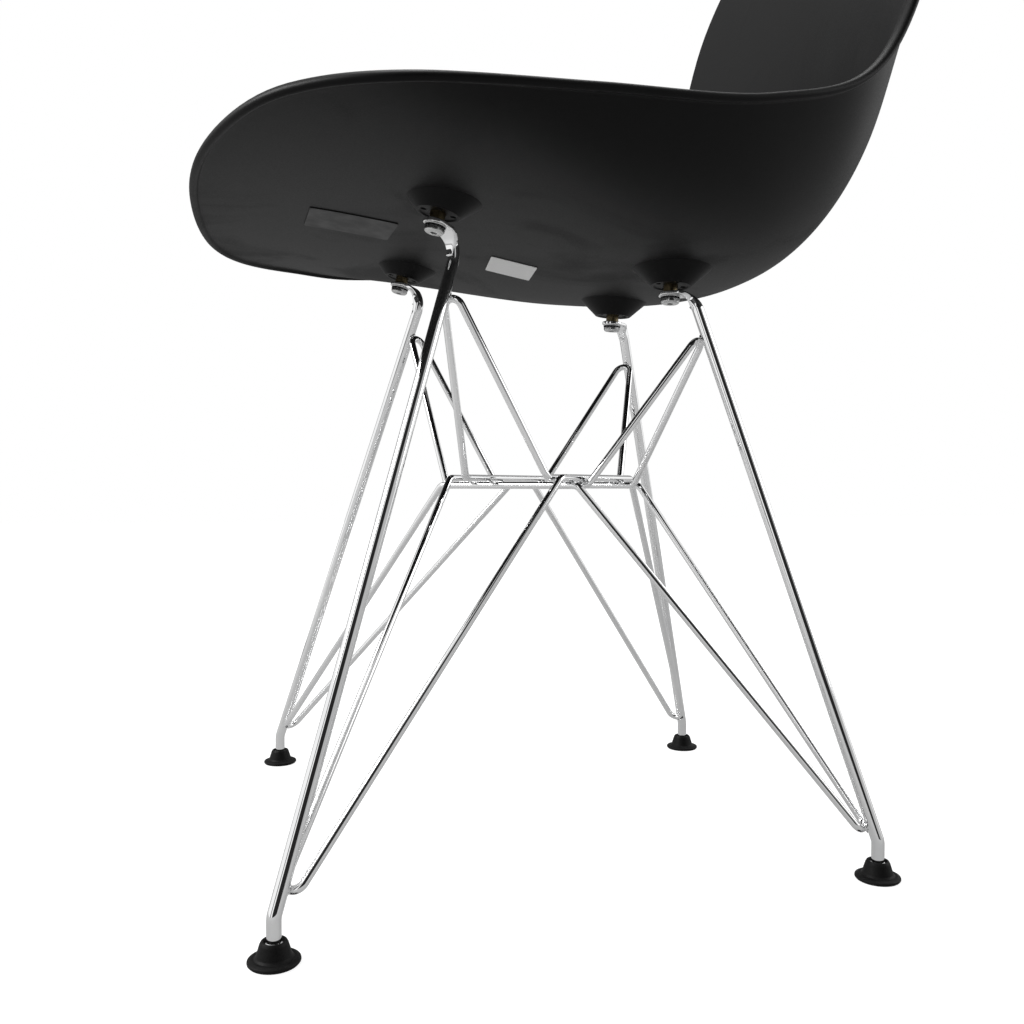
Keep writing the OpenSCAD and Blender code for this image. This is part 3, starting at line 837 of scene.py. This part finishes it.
@dataclass
class StickerSheet:
    """Blank label stuck to the underside, with rounded corners."""

    name: str
    node: str
    finish: Finish
    at: Span
    length: float
    width: float
    turn: float
    corner: float = 1.6
    gap: float = 0.3
    thick: float = 0.4
    rows: int = 60
    cols: int = 16
    corner_steps: int = 8

    def build(self, shell: SeatShell) -> None:
        """Lays the label along the shell, a hair below it."""
        half_l, half_w, r = self.length / 2, self.width / 2, self.corner
        bend = half_l - r + r * np.sin(np.linspace(0, math.pi / 2, self.corner_steps))
        along = np.concatenate([-bend[::-1], np.linspace(-half_l + r, half_l - r, self.rows)[1:-1], bend])
        near_end = np.clip(np.abs(along) - (half_l - r), 0, r)
        wide = half_w - r + np.sqrt(np.maximum(r * r - near_end**2, 1e-4))
        c, s = math.cos(self.turn), math.sin(self.turn)
        top, low = [], []
        for p, w in zip(along, wide):
            for k in range(self.cols + 1):
                q = w * (2 * k / self.cols - 1)
                u, v = shell.above(self.at[0] + p * c - q * s, self.at[1] + p * s + q * c)
                face, square = shell.underside(u, v), shell.normal(u, v)
                top.append(face - square * self.gap)
                low.append(face - square * (self.gap + self.thick))
        n, m, count = len(along), self.cols + 1, len(top)
        faces = []
        for i in range(n - 1):
            for k in range(m - 1):
                a, b = i * m + k, count + i * m + k
                faces += [(a, a + 1, a + m + 1, a + m), (b, b + m, b + m + 1, b + 1)]
        ring = list(range(m)) + [i * m + m - 1 for i in range(1, n)]
        ring += [(n - 1) * m + k for k in range(m - 2, -1, -1)] + [i * m for i in range(n - 2, 0, -1)]
        for a, b in zip(ring, ring[1:] + ring[:1]):
            faces.append((a, count + a, count + b, b))
        sheet = mesh_object(self.name, shell.centred(np.array(top + low)), faces)
        dress(sheet, self.finish, 40, [self.node])


# The mounts


class Corner(Enum):
    """The four places where the base holds the shell."""

    FRONT_LEFT = "front_left"
    FRONT_RIGHT = "front_right"
    REAR_LEFT = "rear_left"
    REAR_RIGHT = "rear_right"

    @property
    def front(self) -> bool:
        """Whether this is one of the front two."""
        return self in (Corner.FRONT_LEFT, Corner.FRONT_RIGHT)

    @property
    def side(self) -> int:
        """1 on the sitter's left, -1 on the right."""
        return 1 if self in (Corner.FRONT_LEFT, Corner.REAR_LEFT) else -1


@dataclass
class MountFrame:
    """Place and directions of one mount, with the bend and the line of its leg."""

    shell: SeatShell
    corner: Corner
    boss_x: Span = (100, 63)
    boss_y: Span = (-82, 84)
    boss_h: Span = (9, 11.5)
    boss_tilt: Span = (math.radians(5), 0.0)
    insert_stand: float = 4.5
    reach_turn: Span = (math.radians(133), math.radians(51))
    bend_r: Span = (18, 18)
    foot_x: Span = (192, 161)
    foot_y: float = 185
    foot_bend_z: float = 24
    flat_e: float = 7
    flat_t: float = 2.5
    leg_d: float = 8
    rod_end: float = 4

    def __post_init__(self) -> None:
        """Finds the mount's place on the shell, its axes and the leg's bend."""
        k = 0 if self.corner.front else 1
        side = self.corner.side
        self.height = self.boss_h[k]
        u, v = self.shell.above(side * self.boss_x[k], self.boss_y[k])
        n, t = -self.shell.normal(u, v), self.boss_tilt[k]
        c, s = math.cos(t), math.sin(t)
        self.axis = np.array([n[0], n[1] * c + n[2] * s, n[2] * c - n[1] * s])
        self.origin = self.shell.underside(u, v) + self.axis * (self.height + self.insert_stand)
        way = np.array([side * math.cos(self.reach_turn[k]), math.sin(self.reach_turn[k]), 0])
        self.reach = unit(way - self.axis * np.dot(way, self.axis))
        self.foot = np.array([side * self.foot_x[k], self.foot_y * (-1 if self.corner.front else 1), 0])
        self.foot_bend = self.foot + [0, 0, self.foot_bend_z]
        to_foot = self.foot_bend - self.on_plate(0)
        self.down = unit(to_foot - self.reach * np.dot(self.reach, to_foot))
        self.outer_r, r = self.bend_r[k], self.bend_r[k] - self.leg_d / 2
        e = np.dot(to_foot, self.reach) - self.flat_e
        d = np.dot(to_foot, self.down) - self.outer_r + self.flat_t / 2
        self.bend_turn = math.atan2(d, e) + math.atan2(r, math.sqrt(e * e + d * d - r * r))
        self.leg_line = self.reach * math.cos(self.bend_turn) + self.down * math.sin(self.bend_turn)

    def on_plate(self, e: float) -> np.ndarray:
        """Point in the middle of the flat end's thickness, at e from the bolt."""
        return self.origin + self.axis * self.flat_t / 2 + self.reach * e

    def in_bend(self, turn: float, half_t: float) -> np.ndarray:
        """Middle of the bar after a turn of the bend, its outer face on the bend's outer arc."""
        r = self.outer_r - half_t
        depth = self.outer_r - self.flat_t / 2 - r * math.cos(turn)
        return self.on_plate(self.flat_e + r * math.sin(turn)) + self.down * depth

    def leg_at(self, z: float) -> np.ndarray:
        """Point of the leg's long straight at a height above the floor."""
        return self.foot_bend + self.leg_line * (z - self.foot_bend_z) / self.leg_line[2]

    def matrix(self) -> Matrix:
        """Takes the mount's axes, Z up the boss and X towards the leg, to the chair's."""
        z = -self.axis
        return axes_at(self.reach, np.cross(z, self.reach), z, self.shell.centred(self.origin))


@dataclass
class Boss:
    """Cone moulded on the shell, with a raised edge, the insert's bore and four small vents."""

    mount: MountFrame
    end_d: float = 28
    flank: float = math.radians(47)
    edge: float = 0.6
    rim_w: float = 1.7
    recess: float = 0.8
    insert_d: float = 10
    insert_len: float = 11
    vent_d: float = 3.6
    vent_depth: float = 5
    vents: int = 4
    sides: int = 96

    def build(self) -> None:
        """Turns the cone and drills it."""
        low = self.mount.insert_stand
        top = self.mount.height + self.mount.shell.wall / 2
        half, inner = self.end_d / 2, self.end_d / 2 - self.rim_w
        corners = [
            (0, low + self.recess), (inner - self.recess, low + self.recess), (inner, low), (half, low),
            (half + top * math.tan(self.flank), low + top), (0, low + top),
        ]
        name, place = self.mount.corner.value, self.mount.matrix()
        profile = rounded(corners, [0, 0.3, 0.3, self.edge, 0, 0], False, 6)
        boss = lathe("boss_" + name, profile, self.sides, place)
        bore, face, end = self.insert_d / 2 + FIT, low + self.recess, self.insert_len + 0.3
        hole = [(0, low - 1), (bore + 1, low - 1), (bore, face + 0.4), (bore, end), (0, end)]
        cutters = [lathe("bore", hole, 48, place)]
        ring, r, end = (self.insert_d + self.end_d) / 4, self.vent_d / 2, low + self.vent_depth
        hole = [(0, low - 1), (r + 0.9, low - 1), (r, face + 0.3), (r, end), (0, end)]
        for k in range(self.vents):
            a = math.radians(45 + 360 / self.vents * k)
            there = place @ Matrix.Translation((ring * math.cos(a), ring * math.sin(a), 0))
            cutters.append(lathe("vent", hole, 24, there))
        cut(boss, cutters)
        dress(boss, SHELL, 40)


@dataclass
class WeldBead:
    """Rippled weld bead, longest along its own X."""

    name: str
    half: Triple
    ripple: float = 0.1
    waves: float = 4.5
    fullness: float = 0.8
    rows: int = 26
    cols: int = 16

    def build(self, place: Matrix) -> None:
        """Makes the bead at a place."""
        points, (long, wide, high) = [], self.half
        for i in range(1, self.rows):
            a = math.pi * i / self.rows
            x = -math.cos(a)
            r = math.sin(a) ** self.fullness * (1 + self.ripple * math.cos(x * self.waves * math.pi))
            for k in range(self.cols):
                b = 2 * math.pi * k / self.cols
                points.append((long * x, wide * r * math.cos(b), high * r * math.sin(b)))
        points += [(-long, 0, 0), (long, 0, 0)]
        faces = rings_to_faces(self.rows - 1, self.cols, False) + end_fans(self.rows - 1, self.cols)
        dress(mesh_object(self.name, points, faces, place), WELD, 70)


@dataclass
class BoltStack:
    """Bolt with a ribbed socket head, flat washer and toothed lock washer."""

    mount: MountFrame
    bolt_d: float = 6
    head_d: float = 13
    head_h: float = 3.2
    length: float = 14
    washer_t: float = 0.8
    lock_t: float = 1.2
    plain_l: float = 4
    pitch: float = 1.0
    thread_h: float = 0.55
    head_round: float = 1.3
    rib_out: float = 0.25
    socket: float = 4
    teeth: int = 12
    tooth: Span = (1.5, 1.35)
    tooth_twist: float = math.radians(24)
    ribs: int = 36
    rib: Span = (0.5, 0.42)

    def build(self) -> None:
        """Makes the three pieces of the stack."""
        name, place = self.mount.corner.value, self.mount.matrix()
        self.washer(name, place)
        self.lock_washer(name, place)
        self.bolt(name, place)

    def washer(self, name: str, place: Matrix) -> None:
        """Flat washer with the rounded edge that punching leaves."""
        low, high = -self.mount.flat_t - self.washer_t, -self.mount.flat_t
        inner, outer = self.bolt_d / 2 + 0.2, self.head_d / 2 + 0.5
        corners = [(inner, low), (outer, low), (outer, high), (inner, high)]
        washer = lathe("washer_" + name, rounded(corners, [0.15, 0.5, 0.15, 0.15], True, 5), 72, place)
        dress(washer, BOLT_ZINC, 50, ["flat_washer_" + name])

    def lock_washer(self, name: str, place: Matrix) -> None:
        """Toothed lock washer, its teeth twisted out of the ring."""
        middle = -self.mount.flat_t - self.washer_t - self.lock_t / 2
        half, inner, outer = self.lock_t * 0.36, self.bolt_d / 2 + 0.1, self.head_d / 2 - 0.7
        low, high = middle - half, middle + half
        corners = [(inner, low), (outer, low), (outer, high), (inner, high)]
        ring = lathe("lock_washer_ring_" + name, rounded(corners, 0.15, True, 3), 60)
        size = (self.tooth[0] * MM, self.tooth[1] * MM, self.lock_t * 0.62 * MM)
        values = {
            "Count": self.teeth, "Radius": (outer + 0.2) * MM, "Size": size, "Twist": self.tooth_twist,
            "Level": middle * MM, "Finish": LOCK_STEEL.material(),
        }
        Repeat.apply(ring, Repeat.ring_of_teeth(), values)
        self.settle(ring, place)
        dress(ring, LOCK_STEEL, 35, ["lock_washer_" + name])

    def bolt(self, name: str, place: Matrix) -> None:
        """Threaded shank and ribbed head with a hexagon socket."""
        under = -self.mount.flat_t - self.washer_t - self.lock_t
        low = under - self.head_h
        r, head = self.bolt_d / 2 - 2 * FIT, self.head_d / 2
        tip = under + self.length
        face, neck, plain = head - self.rib_out, r - 0.35, under + self.plain_l
        corners = [(0, low), (face, low), (face, under), (neck, under), (neck, plain)]
        soft = [0, self.head_round, 0.25, 0, 0]
        for k in range(int((tip - plain - 1) / self.pitch)):
            base = plain + 0.1 + k * self.pitch
            corners += [(r, base + 0.4 * self.pitch), (r - self.thread_h, base + 0.9 * self.pitch)]
            soft += [0, 0]
        corners += [(r - 0.9, tip), (0, tip)]
        bolt = lathe("bolt_body_" + name, rounded(corners, soft + [0, 0], False, 6), 48)
        wide, deep = self.socket / 2 / math.cos(math.pi / 6), low + self.head_h / 2
        cut(bolt, [lathe("socket", [(0, low - 1), (wide, low - 1), (wide, deep), (0, deep + 0.5)], 6)])
        rib_l = self.head_h - 1.7
        size = (self.rib[0] * MM, self.rib[1] * MM, rib_l * MM)
        values = {
            "Count": self.ribs, "Radius": (head - 0.27) * MM, "Size": size, "Twist": 0.0,
            "Level": (under - rib_l / 2 - 0.3) * MM, "Finish": BOLT_ZINC.material(),
        }
        Repeat.apply(bolt, Repeat.ring_of_teeth(), values)
        self.settle(bolt, place)
        dress(bolt, BOLT_ZINC, 35, ["bolt_" + name])

    @staticmethod
    def settle(obj: Thing, place: Matrix) -> None:
        """Moves a finished mesh, already in metres, from the mount's axes to the chair's."""
        obj.data.transform(Matrix.Scale(MM, 4) @ place @ Matrix.Scale(1 / MM, 4))


@dataclass
class Glide:
    """Domed glide with a wide sole, pushed on the foot of a leg."""

    mount: MountFrame
    sole_d: float = 28
    sole_t: float = 3
    body_d: float = 19.5
    neck_d: float = 15
    height: float = 12
    bore_r: float = 4.05

    def build(self) -> None:
        """Turns the glide round the upright end of the leg."""
        sole, body, neck = self.sole_d / 2, self.body_d / 2, self.neck_d / 2
        foot_z, top, low = self.sole_t, self.height, self.mount.rod_end - 0.3
        corners = [
            (0, 0), (sole - 0.9, 0), (sole, 1.0), (sole - 0.1, 2.2), (sole - 2.2, foot_z + 0.1),
            (body + 0.7, foot_z), (body - 0.3, foot_z + 1.2), (neck, top - 1.6), (neck - 0.9, top),
            (5.6, top), (5.3, top - 2.0), (self.bore_r, top - 2.2), (self.bore_r, low), (0, low),
        ]
        soft = [0, 0.6, 0.7, 0.7, 1.2, 0.6, 1.0, 2.2, 0.9, 0.5, 0.3, 0.1, 0, 0]
        name = self.mount.corner.value
        place = Matrix.Translation(self.mount.shell.centred(self.mount.foot))
        glide = lathe("glide_body_" + name, rounded(corners, soft, False, 6), 96, place)
        dress(glide, GLIDE, 40, ["glide_" + name])


# The wire base


@dataclass
class Leg:
    """Chromed rod whose flattened top end is bent in under its mount."""

    mount: MountFrame
    flat_w: float = 16
    flat_power: float = 8
    narrow_end: float = 0.55
    thick_end: float = 0.9
    pinch_at: float = 0.72
    pinch_half: Triple = (2.5, 0.9, 0.55)
    pinch_sink: float = 0.35
    collar_d: float = 10.5
    collar_z: Triple = (9.8, 10.5, 11.4)
    foot_bend_r: float = 12
    hole_d: float = 6.6
    sides: int = 56
    tip_steps: int = 16
    arc_steps: int = 40

    @staticmethod
    def growth(part: float, end: float) -> float:
        """Smooth rise from 0 to 1 until a part of the bend."""
        t = min(1.0, part / end)
        return t * t * (3 - 2 * t)

    def stations(self) -> list[tuple[np.ndarray, float, float, float]]:
        """Middle points with half the width, half the thickness and how square the bar is."""
        m, half_w, half_t = self.mount, self.flat_w / 2, self.mount.flat_t / 2
        out = []
        for k in range(1, self.tip_steps + 1):
            a = math.pi / 2 * k / (self.tip_steps + 0.4)
            out.append((m.on_plate(-half_w * math.cos(a)), half_w * math.sin(a), half_t, self.flat_power))
        out.append((m.on_plate(m.flat_e / 2), half_w, half_t, self.flat_power))
        for k in range(self.arc_steps + 1):
            part = k / self.arc_steps
            round_up = self.growth(part, self.thick_end)
            wide = half_w + (m.leg_d / 2 - half_w) * self.growth(part, self.narrow_end)
            thick = half_t + (m.leg_d / 2 - half_t) * round_up
            power = self.flat_power + (2 - self.flat_power) * round_up
            out.append((m.in_bend(m.bend_turn * part, thick), wide, thick, power))
        end = m.foot + [0, 0, m.rod_end]
        for p in rounded([m.leg_at(m.foot_bend_z + 100), m.foot_bend, end], self.foot_bend_r, False, 22):
            out.append((p, m.leg_d / 2, m.leg_d / 2, 2.0))
        return out

    def build(self) -> None:
        """Lofts the bar, drills its end, and adds the pinch mark and the collar."""
        m, rows = self.mount, self.stations()
        path = np.array([row[0] for row in rows])
        ahead = unit(np.vstack([path[1:2] - path[:1], path[2:] - path[:-2], path[-1:] - path[-2:-1]]))
        up, points = -m.axis, []
        for (middle, wide, thick, power), t in zip(rows, ahead):
            up = unit(up - t * np.dot(up, t))
            across = np.cross(t, up)
            for k in range(self.sides):
                a = 2 * math.pi * (k + 0.5) / self.sides
                c, e = (math.copysign(abs(f) ** (2 / power), f) for f in (math.cos(a), math.sin(a)))
                points.append(middle + up * thick * e - across * wide * c)
        faces = rings_to_faces(len(rows), self.sides, False)
        last = (len(rows) - 1) * self.sides
        faces += [tuple(range(self.sides)), tuple(range(last, last + self.sides))[::-1]]
        name = m.corner.value
        rod = mesh_object("rod_" + name, m.shell.centred(np.array(points)), faces)
        low, r = -m.flat_t - 1, self.hole_d / 2
        cut(rod, [lathe("hole", [(0, low), (r, low), (r, 1), (0, 1)], 48, m.matrix())])
        dress(rod, CHROME, 46, ["leg_" + name])
        self.pinch_mark(name)
        self.collar(name)

    def collar(self, name: str) -> None:
        """Ring round the rod in the mouth of the glide."""
        m, outer, (low, high, top) = self.mount, self.collar_d / 2, self.collar_z
        inner = m.leg_d / 2 - 0.4
        corners = [(inner, low), (outer, low), (outer, high), (inner, top)]
        profile = rounded(corners, [0, 0.2, 0.4, 0], True, 4)
        place = Matrix.Translation(m.shell.centred(m.foot))
        dress(lathe("rod_collar_" + name, profile, self.sides, place), CHROME, 50)

    def pinch_mark(self, name: str) -> None:
        """Ridge across the inside of the bend, where the flattening of the rod ends."""
        m = self.mount
        turn = m.bend_turn * self.pinch_at
        middle = m.in_bend(turn, m.leg_d / 2)
        along = m.reach * math.cos(turn) + m.down * math.sin(turn)
        inward = unit(np.cross(along, np.cross(m.down, m.reach)))
        if np.dot(inward, m.down - m.reach) < 0:
            inward = -inward
        across = np.cross(inward, along)
        o = m.shell.centred(middle + inward * (m.leg_d / 2 - self.pinch_sink))
        WeldBead("pinch_mark_" + name, self.pinch_half).build(axes_at(across, -along, inward, o))


class BraceKind(Enum):
    """The two kinds of brace: above and below the crossing level."""

    UPPER = "upper"
    LOWER = "lower"


@dataclass
class Brace:
    """Closed wire that joins the front leg of one side with the rear leg of the other."""

    kind: BraceKind
    side: int
    mounts: dict[Corner, MountFrame]
    wire_d: float = 5
    bend: float = 4
    level: float = 253
    weld_drop: float = 43
    rear_rise: float = 10.5
    lower_weld_z: Span = (37, 33)
    weld_half: Triple = (3.6, 2.4, 1.25)
    weld_ripple: float = 0.06
    sides: int = 28

    def __post_init__(self) -> None:
        """Picks the sizes of the kind of brace."""
        upper = self.kind is BraceKind.UPPER
        self.bar_l, self.bar_gap = (128, 62.5) if upper else (119, 87.5)
        self.bar_at, turn = ((13, 8), 139.5) if upper else ((5.5, 7.5), 138)
        self.bar_turn = math.radians(turn)
        if self.side < 0:
            self.level = self.level - self.wire_d - FIT
        left = (Corner.FRONT_LEFT, Corner.REAR_RIGHT)
        right = (Corner.FRONT_RIGHT, Corner.REAR_LEFT)
        self.front, self.rear = (self.mounts[c] for c in (left if self.side > 0 else right))
        self.weld_z = self.lower_weld_z
        if upper:
            front_z, rear_z = (m.origin[2] - self.weld_drop for m in (self.front, self.rear))
            self.weld_z = (front_z, rear_z + self.rear_rise)

    @property
    def name(self) -> str:
        """The brace's name, as the CAD node has it."""
        return f"{self.kind.value}_brace_{'a' if self.side > 0 else 'b'}"

    def bar_corner(self, a: int, b: int) -> np.ndarray:
        """Corner of the two bars: a is 1 at the front end, b is 1 at the outer bar."""
        t = self.bar_turn
        d, n = np.array([math.cos(t), math.sin(t)]), np.array([math.sin(t), -math.cos(t)])
        p = np.array(self.bar_at) - d * a * self.bar_l / 2 + n * b * self.bar_gap / 2
        return np.array([self.side * p[0], p[1], self.level])

    def weld_corner(self, m: MountFrame, z: float, p: np.ndarray, q: np.ndarray) -> np.ndarray:
        """Sharp corner at a leg, so that the rounded top of the wire meets the rod."""
        now = top = m.leg_at(z)
        r = self.bend + self.wire_d / 2
        for _ in range(4):
            b = unit(unit(p - now) + unit(q - now))
            h = half_turn(p - now, q - now)
            inward = unit(b - m.leg_line * np.dot(b, m.leg_line))
            now = top + inward * (m.leg_d / 2 + self.wire_d / 2 + FIT) - b * r * (1 / math.sin(h) - 1)
        return now

    def corners(self) -> list[np.ndarray]:
        """Sharp corners of the closed wire."""
        fi, ri, ro, fo = (self.bar_corner(a, b) for a, b in ((1, -1), (-1, -1), (-1, 1), (1, 1)))
        front = self.weld_corner(self.front, self.weld_z[0], fo, fi)
        rear = self.weld_corner(self.rear, self.weld_z[1], ri, ro)
        return [front, fi, ri, rear, ro, fo]

    def build(self) -> None:
        """Sweeps the wire and adds its two welds."""
        corners = self.corners()
        shell = self.front.shell
        path = shell.centred(rounded(corners, self.bend + self.wire_d / 2, True, 18))
        wire = closed_wire("wire_" + self.name, path, self.wire_d, self.sides, CHROME)
        dress(wire, CHROME, 60, [self.name])
        ends = (("front", self.front, 0), ("rear", self.rear, 3))
        for (end, m, i), z in zip(ends, self.weld_z):
            rod = shell.centred(m.leg_at(z))
            b = unit(unit(corners[(i + 1) % 6] - corners[i]) + unit(corners[i - 1] - corners[i]))
            inward = unit(b - m.leg_line * np.dot(b, m.leg_line))
            x = unit(m.leg_line)
            place = axes_at(x, np.cross(inward, x), inward, rod + inward * (m.leg_d / 2 + 0.1))
            WeldBead(f"weld_{self.name}_{end}", self.weld_half, self.weld_ripple).build(place)


# Studio


@dataclass
class Studio:
    """Camera, lamps, pale floor and white surroundings."""

    camera_at: Triple = (0.7200, -0.2051, 0.2488)
    yaw: float = math.radians(12.578)
    pitch: float = math.radians(-1.594)
    lens: float = 35.156
    sensor: float = 36.0
    mirror_walls: tuple[Span, ...] = (
        (-180, 0.35), (-142, 0.4), (-132, 1.0), (-64, 1.0), (-60, 0.04), (-53, 0.04), (-49, 1.0), (-36, 1.0),
        (-31, 0.02), (25, 0.02), (31, 0.5), (74, 0.5), (84, 1.0), (124, 1.0), (132, 0.3), (180, 0.35),
    )
    light_walls: tuple[Span, ...] = (
        (-180, 0.25), (-110, 0.45), (-60, 0.12), (-30, 0.015), (35, 0.015), (75, 0.2), (110, 0.45),
        (180, 0.25),
    )
    mirror_ceiling: float = 0.9
    light_ceiling: float = 0.6
    floor_half: float = 6000
    floor_drop: float = 0.2
    floor_paint: Span = (0.29, 0.31)
    floor_shine: float = 0.16
    floor_glow: Span = (0.86, 1.0)
    glow_reach: Span = (0.35, 1.1)
    aim: Triple = (0, 0, 0.4)
    lamp_set: tuple[tuple[str, Triple, float, float], ...] = (
        ("key_lamp", (0.1, -2.2, 1.9), 1.4, 75.0),
        ("right_lamp", (0.5, 2.3, 1.3), 1.4, 16.0),
        ("top_lamp", (-0.4, 0.2, 2.6), 1.6, 26.0),
    )

    def build(self) -> None:
        """Builds the whole studio."""
        self.camera()
        self.surroundings()
        self.floor()
        self.lamps()
        scene = bpy.context.scene
        scene.view_settings.view_transform = "Standard"

    def camera(self) -> None:
        """Camera at the photograph's place and angle."""
        data = bpy.data.cameras.new("studio_camera")
        data.lens, data.sensor_width, data.sensor_fit = self.lens, self.sensor, "HORIZONTAL"
        data.clip_start, data.clip_end = 0.01, 100
        camera = bpy.data.objects.new("studio_camera", data)
        bpy.context.collection.objects.link(camera)
        level = math.cos(self.pitch)
        ahead = np.array([-math.cos(self.yaw) * level, math.sin(self.yaw) * level, math.sin(self.pitch)])
        right = np.array([math.sin(self.yaw), math.cos(self.yaw), 0])
        camera.matrix_world = axes_at(right, np.cross(right, ahead), -ahead, self.camera_at)
        bpy.context.scene.camera = camera

    def surroundings(self) -> None:
        """White to the camera; for reflections a room of pale and dark panels; dimmer as light."""
        world = bpy.data.worlds.new("studio")
        bpy.context.scene.world = world
        world.use_nodes = True
        world.node_tree.nodes.clear()
        g = Graph(world.node_tree)
        path = g.add("ShaderNodeLightPath")
        way = g.add("ShaderNodeSeparateXYZ", {0: g.add("ShaderNodeTexCoord").outputs["Generated"]})
        azimuth = g.maths("ARCTAN2", way.outputs["Y"], way.outputs["X"])
        lap = g.maths("MULTIPLY_ADD", azimuth, 0.5 / math.pi, 0.5)
        walls = self.round_walls(g, lap, self.mirror_walls)
        mirror = g.mix(g.ramp(way.outputs["Z"], 0.75, 0.95), walls, (*[self.mirror_ceiling] * 3, 1.0))
        soft = self.round_walls(g, lap, self.light_walls)
        lit = g.mix(g.ramp(way.outputs["Z"], 0.1, 0.7), soft, (*[self.light_ceiling] * 3, 1.0))
        white = g.add("ShaderNodeBackground", {"Color": (1, 1, 1, 1), "Strength": 1.0})
        panels = g.add("ShaderNodeBackground", {"Color": mirror, "Strength": 1.0})
        light = g.add("ShaderNodeBackground", {"Color": lit, "Strength": 1.0})
        shiny = g.maths("MAXIMUM", path.outputs["Is Glossy Ray"], path.outputs["Is Transmission Ray"])
        first = g.add("ShaderNodeMixShader", {0: shiny, 1: light.outputs[0], 2: panels.outputs[0]})
        seen = path.outputs["Is Camera Ray"]
        both = g.add("ShaderNodeMixShader", {0: seen, 1: first.outputs[0], 2: white.outputs[0]})
        g.add("ShaderNodeOutputWorld", {"Surface": both.outputs[0]})

    @staticmethod
    def round_walls(g: Graph, lap: Value, levels: Sequence[Span]) -> Socket:
        """Grey level of the room's walls by direction.

        Args:
            g: the tree that the nodes go into.
            lap: direction round the room, from 0 to 1.
            levels: degrees from +X towards +Y and the grey level there, in rising order.

        Returns:
            The grey level as a colour.
        """
        ramp = g.add("ShaderNodeValToRGB", {0: lap})
        marks = ramp.color_ramp.elements
        while len(marks) < len(levels):
            marks.new(1.0)
        for mark, (degrees, level) in zip(marks, levels):
            mark.position = (degrees + 180) / 360
            mark.color = (level, level, level, 1)
        return ramp.outputs[0]

    def floor(self) -> None:
        """Pale floor that stays white to the camera and keeps the chair's shadow."""
        material = bpy.data.materials.new("studio_floor")
        material.use_nodes = True
        material.node_tree.nodes.clear()
        g = Graph(material.node_tree)
        path = g.add("ShaderNodeLightPath")
        place = g.add("ShaderNodeTexCoord").outputs["Object"]
        cloud = g.add("ShaderNodeTexNoise", {"Vector": place, "Scale": 3.0, "Detail": 2.0})
        dark, pale = self.floor_paint
        paint = g.mix(g.ramp(cloud.outputs[0], 0.3, 0.7), (dark, dark, dark, 1), (pale, pale, pale, 1))
        matt = g.add("ShaderNodeBsdfDiffuse", {"Color": paint})
        shiny = g.maths("MAXIMUM", path.outputs["Is Glossy Ray"], path.outputs["Is Transmission Ray"])
        seen = g.maths("MULTIPLY_ADD", shiny, self.floor_shine, path.outputs["Is Camera Ray"])
        away = g.add("ShaderNodeVectorMath", {0: place}, operation="LENGTH").outputs["Value"]
        strength = g.maths("MULTIPLY", seen, g.ramp(away, *self.glow_reach, *self.floor_glow))
        glow = g.add("ShaderNodeEmission", {"Color": (1, 1, 1, 1), "Strength": strength})
        total = g.add("ShaderNodeAddShader", {0: matt.outputs[0], 1: glow.outputs[0]})
        g.add("ShaderNodeOutputMaterial", {"Surface": total.outputs[0]})
        h = self.floor_half
        points = [(-h, -h, 0), (h, -h, 0), (h, h, 0), (-h, h, 0)]
        place = Matrix.Translation((0, 0, -self.floor_drop))
        floor = mesh_object("studio_floor_sheet", points, [(0, 1, 2, 3)], place)
        floor.data.materials.append(material)

    def lamps(self) -> None:
        """Large soft lamps."""
        for name, at, size, power in self.lamp_set:
            data = bpy.data.lights.new(name, "AREA")
            data.shape, data.size, data.energy = "SQUARE", size, power
            lamp = bpy.data.objects.new(name, data)
            bpy.context.collection.objects.link(lamp)
            z = unit(np.array(at) - self.aim)
            x = unit(np.cross([0, 0, 1], z))
            lamp.matrix_world = axes_at(x, np.cross(z, x), z, at)


def dress_inserts() -> None:
    """Gives the threaded inserts, whose CAD solids stay, their brass, painted darker than real brass as
    shade in the boss's recess.
    """
    for corner in Corner:
        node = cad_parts["threaded_insert_" + corner.value]
        node.data.materials.clear()
        node.data.materials.append(BRASS_DARKENED_AS_SHADE.material())
        LOG.info("threaded_insert_%s: its solid stays, in brass", corner.value)


def main() -> None:
    """Builds the chair's pieces and the studio, in order."""
    logging.basicConfig(level=logging.INFO, format="%(message)s")
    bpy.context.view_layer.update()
    shell = SeatShell()
    shell.build()
    for sheet in (
        StickerSheet("pale_sticker", "pale_label", PALE_STICKER, (-19.5, -11), 34, 42, math.radians(85)),
        StickerSheet("dark_sticker", "dark_label", DARK_STICKER, (9, -132.5), 60, 48, math.radians(94)),
    ):
        sheet.build(shell)
    mounts = {corner: MountFrame(shell, corner) for corner in Corner}
    for mount in mounts.values():
        for piece in (Boss(mount), BoltStack(mount), Leg(mount), Glide(mount)):
            piece.build()
    for kind in BraceKind:
        for side in (1, -1):
            Brace(kind, side, mounts).build()
    dress_inserts()
    Studio().build()


if __name__ == "__main__":
    main()
